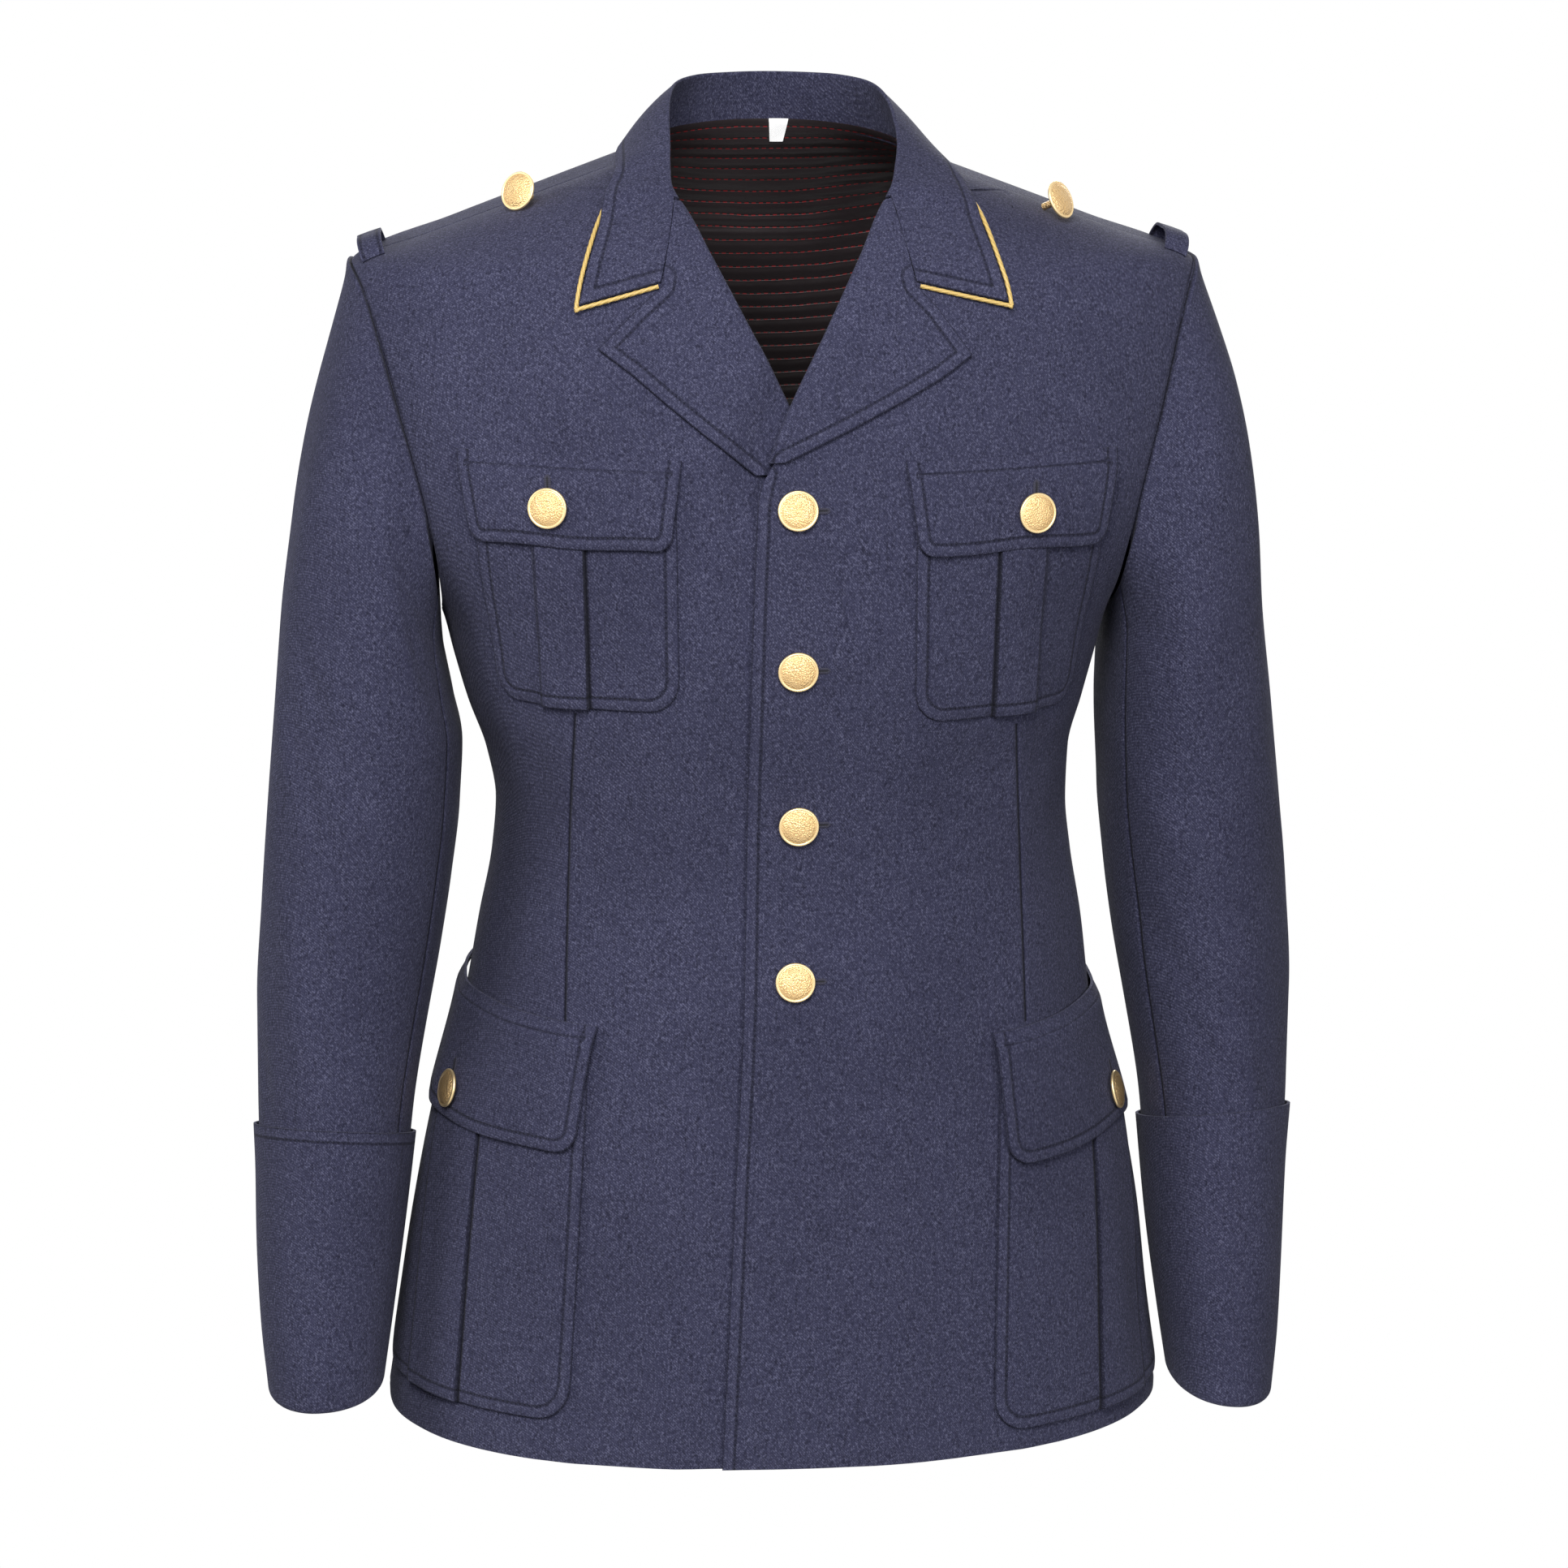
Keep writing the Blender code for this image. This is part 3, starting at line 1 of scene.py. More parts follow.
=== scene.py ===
import bpy
import numpy as np
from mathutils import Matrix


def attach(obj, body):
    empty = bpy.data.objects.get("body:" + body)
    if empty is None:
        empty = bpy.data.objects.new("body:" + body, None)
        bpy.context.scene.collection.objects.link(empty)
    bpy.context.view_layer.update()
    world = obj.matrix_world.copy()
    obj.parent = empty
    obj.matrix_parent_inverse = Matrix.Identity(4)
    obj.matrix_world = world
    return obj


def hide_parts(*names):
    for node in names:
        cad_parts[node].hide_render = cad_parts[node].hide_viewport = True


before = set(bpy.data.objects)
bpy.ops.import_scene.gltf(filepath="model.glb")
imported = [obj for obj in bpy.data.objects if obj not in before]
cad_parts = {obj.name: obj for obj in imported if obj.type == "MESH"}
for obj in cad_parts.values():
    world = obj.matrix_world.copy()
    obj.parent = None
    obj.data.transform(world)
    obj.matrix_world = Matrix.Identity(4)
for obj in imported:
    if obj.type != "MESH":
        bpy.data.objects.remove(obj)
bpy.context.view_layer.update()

# Camera: it stands where the photograph was taken, a little to the left and above, and
# frames the whole garment. The garment hangs still, filled out, with its hem off the floor.
CAMERA_AT = (-0.1904, -2.4945, 0.1758)
CAMERA_TARGET = (0.0059, 0.0, -0.3560)
camera_data = bpy.data.cameras.new("camera")
camera_data.lens = 102.48
camera_data.sensor_width = 36.0
camera = bpy.data.objects.new("camera", camera_data)
bpy.context.scene.collection.objects.link(camera)
bpy.context.scene.camera = camera
camera.location = CAMERA_AT


def aim(thing, target):
    """Turns a camera or light at its place to look at the target."""
    from mathutils import Vector
    way = Vector(target) - thing.location
    thing.rotation_euler = way.to_track_quat("-Z", "Y").to_euler()


aim(camera, CAMERA_TARGET)

# The garment's measured form. Levels are heights at the neck's side points and below, in
# metres; every cloth piece is worked out from these sizes and short tables.
CLOTH = 0.0016
THIN = 0.0010
LINING = 0.0010
SEAM = 0.0004
SHOULDER_LEVEL = -0.0550
ARMPIT_LEVEL = -0.2500
HEM_LEVEL = -0.7125
BREAK_LEVEL = -0.1600
ROLL = 0.0023
ROUNDNESS = 2.3
NECK_RISE = 0.20
BUTTON_RADIUS = 0.0110
ARMHOLE_STEPS = 10
LEFT = 1
RIGHT = -1

# Horizontal sections of the body: half width on the wearer's right and left, depth of
# the front and of the back, each at its level.
SECTIONS = np.array([
    # level, right, left, front, back
    [0.0000, 0.0820, 0.0820, 0.052, 0.080],
    [-0.0200, 0.1376, 0.1376, 0.072, 0.096],
    [-0.0400, 0.1931, 0.1931, 0.088, 0.110],
    [-0.0550, 0.2348, 0.2348, 0.097, 0.118],
    [-0.0650, 0.2405, 0.2405, 0.102, 0.122],
    [-0.0850, 0.2440, 0.2440, 0.111, 0.129],
    [-0.1100, 0.2435, 0.2435, 0.121, 0.135],
    [-0.1500, 0.2360, 0.2360, 0.133, 0.142],
    [-0.2000, 0.2150, 0.2150, 0.142, 0.143],
    [-0.2500, 0.1880, 0.1880, 0.142, 0.139],
    [-0.2750, 0.1815, 0.1815, 0.140, 0.136],
    [-0.3000, 0.1745, 0.1750, 0.137, 0.132],
    [-0.3300, 0.1640, 0.1675, 0.132, 0.126],
    [-0.3600, 0.1590, 0.1665, 0.129, 0.121],
    [-0.3900, 0.1615, 0.1695, 0.128, 0.121],
    [-0.4300, 0.1695, 0.1760, 0.131, 0.126],
    [-0.4800, 0.1790, 0.1815, 0.137, 0.135],
    [-0.5400, 0.1950, 0.1960, 0.143, 0.143],
    [-0.6000, 0.2075, 0.2075, 0.148, 0.150],
    [-0.6500, 0.2160, 0.2140, 0.152, 0.154],
    [-0.7300, 0.2290, 0.2265, 0.156, 0.159],
])

# The armhole seam as the front view shows it: its distance from the middle.
ARMHOLE = np.array([
    # level, x
    [-0.0550, 0.2348],
    [-0.0650, 0.2290],
    [-0.0900, 0.2205],
    [-0.1150, 0.2135],
    [-0.1400, 0.2070],
    [-0.1650, 0.2000],
    [-0.1900, 0.1935],
    [-0.2200, 0.1888],
    [-0.2500, 0.1880],
])

# The finished edge of the left front: neckline, roll line, then front edge to the hem.
FRONT_EDGE = np.array([
    # level, x
    [0.0000, 0.0800],
    [-0.0080, 0.0690],
    [-0.0170, 0.0560],
    [-0.0455, 0.0400],
    [-0.0820, 0.0210],
    [-0.1280, -0.0030],
    [-0.1600, -0.0155],
    [-0.1750, -0.0190],
    [-0.3000, -0.0235],
    [-0.4340, -0.0260],
    [-0.5690, -0.0330],
    [-0.7300, -0.0415],
])

# Soft folds of the body, as bumps of the cloth along its own normal.
BODY_FOLDS = np.array([
    # angle, level, half angle, half length, height, lean in degrees per metre
    [52.0, -0.400, 7.0, 0.150, 0.0022, 20.0],
    [-50.0, -0.390, 7.0, 0.140, 0.0020, -15.0],
    [70.0, -0.420, 6.0, 0.090, -0.0016, 10.0],
    [-70.0, -0.430, 6.0, 0.100, -0.0018, -10.0],
    [35.0, -0.640, 8.0, 0.120, -0.0020, 0.0],
    [-33.0, -0.630, 8.0, 0.120, -0.0020, 0.0],
    [18.0, -0.560, 7.0, 0.120, 0.0018, 8.0],
    [-16.0, -0.580, 7.0, 0.110, 0.0016, -8.0],
    [64.0, -0.215, 9.0, 0.060, 0.0030, -60.0],
    [-64.0, -0.215, 9.0, 0.060, 0.0030, 60.0],
    [145.0, -0.380, 9.0, 0.140, 0.0030, 10.0],
    [-150.0, -0.370, 9.0, 0.130, 0.0028, -10.0],
    [165.0, -0.600, 10.0, 0.140, -0.0030, 0.0],
    [-160.0, -0.610, 10.0, 0.150, -0.0026, 0.0],
    [128.0, -0.640, 9.0, 0.120, 0.0026, 0.0],
    [-125.0, -0.630, 9.0, 0.120, 0.0028, 0.0],
    [40.0, -0.330, 3.0, 0.040, -0.0010, 120.0],
    [33.0, -0.372, 3.0, 0.035, 0.0009, 150.0],
    [-36.0, -0.335, 3.0, 0.038, -0.0010, -130.0],
    [-30.0, -0.378, 3.0, 0.034, 0.0009, -160.0],
    [58.0, -0.300, 3.5, 0.045, -0.0012, -40.0],
    [-57.0, -0.305, 3.5, 0.050, -0.0012, 45.0],
    [24.0, -0.505, 3.0, 0.050, 0.0008, 60.0],
    [-22.0, -0.520, 3.0, 0.045, 0.0008, -70.0],
    [12.0, -0.640, 4.0, 0.070, -0.0012, 10.0],
    [-11.0, -0.655, 4.0, 0.060, -0.0010, -12.0],
    [80.0, -0.560, 5.0, 0.100, 0.0022, 5.0],
    [-81.0, -0.570, 5.0, 0.110, 0.0022, -5.0],
    [72.0, -0.650, 4.0, 0.060, -0.0016, 0.0],
    [-71.0, -0.640, 4.0, 0.070, -0.0016, 0.0],
    [152.0, -0.250, 6.0, 0.060, -0.0014, 40.0],
    [-146.0, -0.245, 6.0, 0.055, -0.0014, -40.0],
    [118.0, -0.330, 4.0, 0.050, -0.0014, 60.0],
    [-115.0, -0.325, 4.0, 0.045, -0.0014, -60.0],
    [172.0, -0.450, 5.0, 0.080, 0.0016, 10.0],
    [-168.0, -0.480, 5.0, 0.070, 0.0014, -12.0],
])

# Sleeve rings from the armhole down: outer and inner point, half depth, forward shift.
SLEEVE = np.array([
    # outer x, outer z, inner x, inner z, half depth, centre y
    [0.2353, -0.0550, 0.1885, -0.2500, 0.0750, 0.000],
    [0.2440, -0.0740, 0.1885, -0.2600, 0.0800, -0.001],
    [0.2550, -0.1080, 0.1880, -0.2700, 0.0840, -0.002],
    [0.2660, -0.1500, 0.1870, -0.2830, 0.0860, -0.003],
    [0.2740, -0.1950, 0.1860, -0.3000, 0.0860, -0.004],
    [0.2800, -0.2500, 0.1850, -0.3250, 0.0840, -0.005],
    [0.2850, -0.3050, 0.1855, -0.3600, 0.0810, -0.006],
    [0.2900, -0.3600, 0.1895, -0.4000, 0.0780, -0.008],
    [0.2945, -0.4150, 0.1950, -0.4400, 0.0750, -0.011],
    [0.2980, -0.4700, 0.2020, -0.4850, 0.0710, -0.015],
    [0.2978, -0.5250, 0.2090, -0.5330, 0.0670, -0.021],
    [0.2960, -0.5700, 0.2135, -0.5750, 0.0630, -0.027],
    [0.2945, -0.6180, 0.2190, -0.6180, 0.0600, -0.034],
    [0.2920, -0.6590, 0.2250, -0.6570, 0.0570, -0.042],
    [0.2880, -0.6940, 0.2305, -0.6900, 0.0540, -0.049],
])
SLEEVE_END = len(SLEEVE) - 1

# How far each sleeve hangs away from that common form, outwards from the middle.
SLEEVE_HANG = np.array([
    # ring, right outer, right inner, left outer, left inner
    [0.0, 0.0000, 0.0000, 0.0000, 0.0000],
    [2.0, -0.0035, -0.0005, 0.0000, 0.0000],
    [4.0, -0.0035, -0.0040, -0.0020, 0.0000],
    [5.0, -0.0020, -0.0075, -0.0035, 0.0010],
    [6.0, -0.0020, -0.0060, -0.0020, 0.0020],
    [8.0, -0.0020, -0.0037, -0.0010, 0.0010],
    [10.0, -0.0010, -0.0005, -0.0035, 0.0025],
    [12.0, 0.0025, 0.0000, -0.0050, -0.0005],
    [14.0, 0.0040, -0.0005, -0.0055, -0.0020],
])
CUFF_TOP = 10.4
# How much higher than the table each sleeve's end hangs.
SLEEVE_END_RISE = {LEFT: -0.007, RIGHT: 0.004}

# Folds of the sleeves: side, ring, angle, half length in rings, half angle, height, lean.
SLEEVE_FOLDS = np.array([
    # side, ring, angle, half length, half angle, height, lean in degrees per ring
    [-1, 4.5, 38.0, 3.2, 15.0, 0.0030, -4.0],
    [-1, 7.6, 88.0, 1.4, 16.0, -0.0026, 22.0],
    [-1, 8.6, 60.0, 1.3, 15.0, 0.0030, 14.0],
    [-1, 2.6, 100.0, 1.6, 15.0, 0.0030, 12.0],
    [1, 7.3, 95.0, 1.3, 16.0, 0.0036, -24.0],
    [1, 8.4, 120.0, 1.1, 15.0, -0.0028, -20.0],
    [1, 9.2, 85.0, 1.0, 16.0, 0.0030, -18.0],
    [1, 4.0, 42.0, 3.0, 15.0, 0.0028, 4.0],
    [1, 2.4, 105.0, 1.5, 15.0, 0.0028, -12.0],
    [-1, 7.0, 270.0, 1.6, 22.0, 0.0030, 12.0],
    [1, 7.0, 262.0, 1.6, 22.0, 0.0032, -12.0],
    [-1, 8.3, 250.0, 1.2, 18.0, -0.0030, 14.0],
    [1, 8.5, 255.0, 1.2, 18.0, -0.0028, -14.0],
    [-1, 5.6, 62.0, 0.7, 8.0, -0.0016, 26.0],
    [-1, 6.3, 40.0, 0.8, 8.0, 0.0014, 20.0],
    [-1, 8.0, 84.0, 0.5, 9.0, 0.0016, 34.0],
    [-1, 9.7, 30.0, 0.5, 9.0, -0.0016, 16.0],
    [-1, 1.5, 70.0, 0.8, 8.0, -0.0014, 8.0],
    [-1, 3.4, 120.0, 0.9, 9.0, -0.0016, 14.0],
    [1, 5.8, 66.0, 0.7, 8.0, -0.0016, -26.0],
    [1, 6.6, 44.0, 0.8, 8.0, 0.0015, -20.0],
    [1, 7.9, 72.0, 0.6, 8.0, -0.0018, -30.0],
    [1, 9.0, 104.0, 0.6, 9.0, 0.0018, -34.0],
    [1, 9.8, 60.0, 0.5, 9.0, -0.0014, -18.0],
    [1, 1.6, 74.0, 0.8, 8.0, -0.0014, -8.0],
    [1, 3.2, 122.0, 0.9, 9.0, -0.0016, -14.0],
    [-1, 11.9, 70.0, 0.8, 12.0, -0.0010, 0.0],
    [1, 11.7, 75.0, 0.8, 12.0, -0.0010, 0.0],
])
UPPER_FROM = -126.0
UPPER_TO = 144.0


def smooth(at, xs, ys):
    """Monotone cubic through the rows of a table. xs may run up or down."""
    at = np.asarray(at, float)
    if xs[0] > xs[-1]:
        xs = xs[::-1]
        ys = ys[::-1]
    step = np.diff(xs)
    slope = np.diff(ys) / step
    tangent = np.zeros(len(xs))
    both = slope[:-1] * slope[1:] > 0
    mean = np.zeros(len(slope) - 1)
    mean[both] = 2 * slope[:-1][both] * slope[1:][both] / (slope[:-1] + slope[1:])[both]
    tangent[1:-1] = mean
    tangent[0] = slope[0]
    tangent[-1] = slope[-1]
    k = np.clip(np.searchsorted(xs, at) - 1, 0, len(step) - 1)
    t = (at - xs[k]) / step[k]
    t = np.clip(t, 0.0, 1.0)
    h = step[k]
    low = (1 + 2 * t) * (1 - t) ** 2 * ys[k] + t * (1 - t) ** 2 * h * tangent[k]
    high = t * t * (3 - 2 * t) * ys[k + 1] + t * t * (t - 1) * h * tangent[k + 1]
    return low + high


def ease(t):
    t = np.clip(t, 0.0, 1.0)
    return t * t * (3 - 2 * t)


def unit(v):
    return v / np.maximum(np.linalg.norm(v, axis=-1, keepdims=True), 1e-12)


def axes_at(side, level):
    """Half width on this side, front depth and back depth of the section at a level."""
    wide = smooth(level, SECTIONS[:, 0], SECTIONS[:, 2 if side > 0 else 1])
    front = smooth(level, SECTIONS[:, 0], SECTIONS[:, 3])
    back = smooth(level, SECTIONS[:, 0], SECTIONS[:, 4])
    return wide, front, back


def bare(angle, level):
    """The body's surface. The angle is in degrees: 0 centre front, 90 left side, 180 back."""
    angle, level = np.broadcast_arrays(np.asarray(angle, float), np.asarray(level, float))
    turn = np.radians(angle)
    sine = np.sin(turn)
    cosine = np.cos(turn)
    wide_left, front, back = axes_at(LEFT, level)
    wide_right = axes_at(RIGHT, level)[0]
    wide = np.where(sine >= 0, wide_left, wide_right)
    deep = np.where(cosine >= 0, front, back)
    radius = (np.abs(sine / wide) ** ROUNDNESS + np.abs(cosine / deep) ** ROUNDNESS) ** (-1 / ROUNDNESS)
    x = radius * sine
    y = -radius * cosine
    behind = np.maximum(y, 0.0)
    rise = NECK_RISE * behind ** 2 / (behind + 0.02) * ease((level + 0.15) / 0.15)
    return np.stack([x, y, level + rise], -1)


def normal_at(angle, level):
    around = bare(np.add(angle, 0.05), level) - bare(np.add(angle, -0.05), level)
    down = bare(angle, np.add(level, -0.0002)) - bare(angle, np.add(level, 0.0002))
    return unit(np.cross(down, around))


def fold_height(angle, level):
    total = np.zeros(np.broadcast(angle, level).shape)
    for at, high, width, length, height, lean in BODY_FOLDS:
        centre = at + lean * (np.asarray(level) - high)
        away = (np.asarray(angle) - centre + 180.0) % 360.0 - 180.0
        along = (np.asarray(level) - high) / length
        total = total + height * np.exp(-(away / width) ** 2 - along ** 2)
    return total


def skin(angle, level, lift):
    """A point over the body's surface, lifted along its normal, with the folds."""
    height = np.asarray(lift) + fold_height(angle, level)
    return bare(angle, level) + normal_at(angle, level) * height[..., None]


def angle_of(x, level):
    """The angle on the front half at which the body's surface has this x."""
    x, level = np.broadcast_arrays(np.asarray(x, float), np.asarray(level, float))
    wide_left, front, _ = axes_at(LEFT, level)
    wide_right = axes_at(RIGHT, level)[0]
    wide = np.where(x >= 0, wide_left, wide_right)
    share = np.clip(np.abs(x) / wide, 0.0, 1.0)
    y = front * (1 - share ** ROUNDNESS) ** (1 / ROUNDNESS)
    return np.degrees(np.arctan2(x, y))


def back_angle_of(x, level):
    wide_left, _, back = axes_at(LEFT, level)
    wide_right = axes_at(RIGHT, level)[0]
    wide = np.where(np.asarray(x) >= 0, wide_left, wide_right)
    share = np.clip(np.abs(x) / wide, 0.0, 1.0)
    y = -back * (1 - share ** ROUNDNESS) ** (1 / ROUNDNESS)
    return np.degrees(np.arctan2(x, y)) % 360.0


def edge_x(level):
    return smooth(level, FRONT_EDGE[:, 0], FRONT_EDGE[:, 1])


def sunk(x, level):
    """How far the right front lies under the left one where the two overlap."""
    deep = 0.0030 + 0.0048 * ease((level + 0.205) / 0.040)
    return deep * ease((x - edge_x(level) + 0.030) / 0.028)


def armhole_angle(level, half):
    """The angle of the left armhole seam on the front half (1) or on the back half (-1)."""
    x = smooth(level, ARMHOLE[:, 0], ARMHOLE[:, 1])
    wide = axes_at(LEFT, level)[0]
    x = np.minimum(x, wide)
    return angle_of(x, level) if half > 0 else back_angle_of(x, level)


# How cloth is meshed: two faces a cloth's thickness apart, with a rim round every open edge.
# Three attributes place the sewing: rim and run along a stitched edge, line across a seam.
FAR = 1.0


def shape(name, points, faces, look, nodes, values=None, sharp=40.0):
    """A finished piece: its mesh, its material and what it stands for."""
    mesh = bpy.data.meshes.new(name)
    mesh.from_pydata(np.asarray(points, float).tolist(), [], [list(map(int, face)) for face in faces])
    for key, value in (values or {}).items():
        layer = mesh.attributes.new(key, "FLOAT", "POINT")
        layer.data.foreach_set("value", np.asarray(value, float).ravel())
    mesh.materials.append(look)
    mesh.shade_smooth()
    mesh.set_sharp_from_angle(angle=np.radians(sharp))
    thing = bpy.data.objects.new(f"fine_{name}", mesh)
    bpy.context.scene.collection.objects.link(thing)
    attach(thing, "root")
    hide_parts(*nodes)
    return thing


def turned_out(points, quads):
    """The faces, turned so that they look out of the closed body they make."""
    a, b, c, d = (points[quads[:, k]] for k in range(4))
    volume = np.sum(a * (np.cross(b, c) + np.cross(c, d)))
    return quads if volume > 0 else quads[:, ::-1]


def wall(name, outer, inner, look, node, kept=None, ring=False, rim=None, run=None, line=None):
    """A sheet of cloth from two grids of points."""
    rows, cols = outer.shape[:2]
    cells = cols if ring else cols - 1
    if kept is None:
        kept = np.ones((rows - 1, cells), bool)
    index = np.arange(rows * cols).reshape(rows, cols)
    beyond = np.roll(index, -1, 1)
    corners = [index[:-1, :cells], beyond[:-1, :cells], beyond[1:, :cells], index[1:, :cells]]
    quads = np.stack(corners, -1)
    shift = rows * cols
    none = np.zeros_like(kept[:1])
    above = np.concatenate([none, kept[:-1]])
    below = np.concatenate([kept[1:], none])
    after = np.roll(kept, -1, 1)
    before = np.roll(kept, 1, 1)
    if not ring:
        after[:, -1] = False
        before[:, 0] = False
    faces = [quads[kept], quads[kept][:, ::-1] + shift]
    for k, beside in enumerate((above, after, below, before)):
        edge = quads[kept & ~beside]
        first = edge[:, k]
        second = edge[:, (k + 1) % 4]
        faces.append(np.stack([second, first, first + shift, second + shift], -1))
    faces = np.concatenate(faces)
    points = np.concatenate([outer.reshape(-1, 3), inner.reshape(-1, 3)])
    middle = (outer + inner) / 2
    closed = np.concatenate([middle, middle[:, :1]], 1) if ring else middle
    a, b, c, d = (middle.reshape(-1, 3)[quads[kept][:, k]] for k in range(4))
    area = float(np.linalg.norm(np.cross(c - a, d - b), axis=1).sum() / 2)
    widest = float(along_rows(closed, 1)[:, -1].max())
    longest = float(along_rows(middle, 0)[-1].max())
    used, faces = np.unique(faces, return_inverse=True)
    faces = turned_out(points[used], faces.reshape(-1, 4))
    values = {}
    for key, value in (("rim", rim), ("run", run), ("line", line)):
        grid = np.full((rows, cols), FAR) if value is None else np.broadcast_to(value, (rows, cols))
        both = np.concatenate([grid.ravel(), np.full(rows * cols, FAR)])
        values[key] = both[used]
    return shape(name, points[used], faces, look, [node], values)


def grid_normals(mid, ring=False):
    if ring:
        across = np.roll(mid, -1, 1) - np.roll(mid, 1, 1)
    else:
        across = np.gradient(mid, axis=1)
    down = np.gradient(mid, axis=0)
    return unit(np.cross(down, across))


def fine(values, times):
    """The rows of a table with times - 1 even steps between each two."""
    values = np.asarray(values, float)
    at = np.linspace(0, len(values) - 1, (len(values) - 1) * times + 1)
    return np.interp(at, np.arange(len(values)), values)


def along_rows(points, axis):
    """Lengths along the rows or columns of a grid, from its start."""
    step = np.linalg.norm(np.diff(points, axis=axis), axis=-1)
    start = np.zeros_like(np.take(step, [0], axis))
    return np.concatenate([start, np.cumsum(step, axis)], axis)


def from_edge(points, path):
    """How far each point lies from a path, and where along the path the nearest point is."""
    flat = points.reshape(-1, 3)
    near = np.full(len(flat), 1e9)
    where = np.zeros(len(flat))
    start = 0.0
    for a, b in zip(path[:-1], path[1:]):
        way = b - a
        length = np.linalg.norm(way)
        if length < 1e-9:
            continue
        t = np.clip((flat - a) @ way / length ** 2, 0.0, 1.0)
        gap = np.linalg.norm(flat - a - t[:, None] * way, axis=1)
        closer = gap < near
        near[closer] = gap[closer]
        where[closer] = start + t[closer] * length
        start += length
    shape_of = points.shape[:-1]
    return near.reshape(shape_of), where.reshape(shape_of)


# Materials are built with small sums. A Sum wraps one number socket of the node tree.
class Sum:
    def __init__(self, tree, socket):
        self.tree = tree
        self.socket = socket

    def make(self, kind, *others):
        node = self.tree.nodes.new("ShaderNodeMath")
        node.operation = kind
        for place, value in enumerate((self,) + others):
            if isinstance(value, Sum):
                self.tree.links.new(value.socket, node.inputs[place])
            else:
                node.inputs[place].default_value = value
        return Sum(self.tree, node.outputs[0])

    def __add__(self, other):
        return self.make("ADD", other)

    def __mul__(self, other):
        return self.make("MULTIPLY", other)

    def __sub__(self, other):
        return self.make("SUBTRACT", other)

    def sin(self):
        return self.make("SINE")

    def bell(self, width):
        """1 at zero, falling to nothing over about twice the width."""
        square = self.make("DIVIDE", width)
        square = square * square
        return (square * -1.0).make("EXPONENT")

    def above(self, limit):
        return self.make("GREATER_THAN", limit)


class Look:
    """A Principled material with helpers for its few kinds of node."""

    def __init__(self, name, colour, rough, metallic=0.0):
        self.material = bpy.data.materials.new(name)
        self.material.use_nodes = True
        self.tree = self.material.node_tree
        self.shader = self.tree.nodes["Principled BSDF"]
        self.shader.inputs["Base Color"].default_value = (*colour, 1.0)
        self.shader.inputs["Roughness"].default_value = rough
        self.shader.inputs["Metallic"].default_value = metallic
        place = self.tree.nodes.new("ShaderNodeTexCoord")
        self.place = place.outputs["Object"]
        self.base = colour

    def part(self, axis):
        node = self.tree.nodes.new("ShaderNodeSeparateXYZ")
        self.tree.links.new(self.place, node.inputs[0])
        return Sum(self.tree, node.outputs[axis])

    def value(self, name):
        node = self.tree.nodes.new("ShaderNodeAttribute")
        node.attribute_name = name
        return Sum(self.tree, node.outputs["Fac"])

    def noise(self, scale, detail=2.0, stretch=(1.0, 1.0, 1.0)):
        mapping = self.tree.nodes.new("ShaderNodeMapping")
        mapping.inputs["Scale"].default_value = stretch
        self.tree.links.new(self.place, mapping.inputs["Vector"])
        node = self.tree.nodes.new("ShaderNodeTexNoise")
        node.inputs["Scale"].default_value = scale
        node.inputs["Detail"].default_value = detail
        self.tree.links.new(mapping.outputs[0], node.inputs["Vector"])
        return Sum(self.tree, node.outputs["Fac"])

    def cells(self, scale):
        node = self.tree.nodes.new("ShaderNodeTexVoronoi")
        node.inputs["Scale"].default_value = scale
        self.tree.links.new(self.place, node.inputs["Vector"])
        return Sum(self.tree, node.outputs["Distance"])

    def tint(self, socket, share, colour):
        """Mixes a colour over what the socket holds, by a share."""
        node = self.tree.nodes.new("ShaderNodeMix")
        node.data_type = "RGBA"
        node.clamp_factor = True
        self.tree.links.new(share.socket, node.inputs["Factor"])
        if socket is None:
            node.inputs["A"].default_value = (*self.base, 1.0)
        else:
            self.tree.links.new(socket, node.inputs["A"])
        node.inputs["B"].default_value = (*colour, 1.0)
        return node.outputs["Result"]

    def finish(self, colour=None, rough=None, height=None, strength=0.3, distance=0.001):
        links = self.tree.links
        if colour is not None:
            links.new(colour, self.shader.inputs["Base Color"])
        if rough is not None:
            links.new(rough.socket, self.shader.inputs["Roughness"])
        if height is not None:
            bump = self.tree.nodes.new("ShaderNodeBump")
            bump.inputs["Strength"].default_value = strength
            bump.inputs["Distance"].default_value = distance
            links.new(height.socket, bump.inputs["Height"])
            links.new(bump.outputs[0], self.shader.inputs["Normal"])
        return self.material


# Wool: a blue-grey twill of mixed fibres, matt and slightly hairy. Edges are topstitched
# 6.5 mm in. Painted shade darkens the stitch grooves, the pieces' edges, and the seams,
# darts and pleat folds, which show as dark lines; a painted highlight lightens a thin band
# between the stitching and the edge.
WOOL_COLOUR = (0.050, 0.051, 0.098)
WOOL_LIGHT = (0.150, 0.153, 0.250)
WOOL_DARK = (0.014, 0.014, 0.030)
# SEAM_SHADE is the colour of painted shade: stitch grooves, piece edges, seams and folds.
SEAM_SHADE = (0.006, 0.006, 0.011)
STITCH_IN = 0.0065
STITCH_LENGTH = 0.0028
TURN = 6.2832


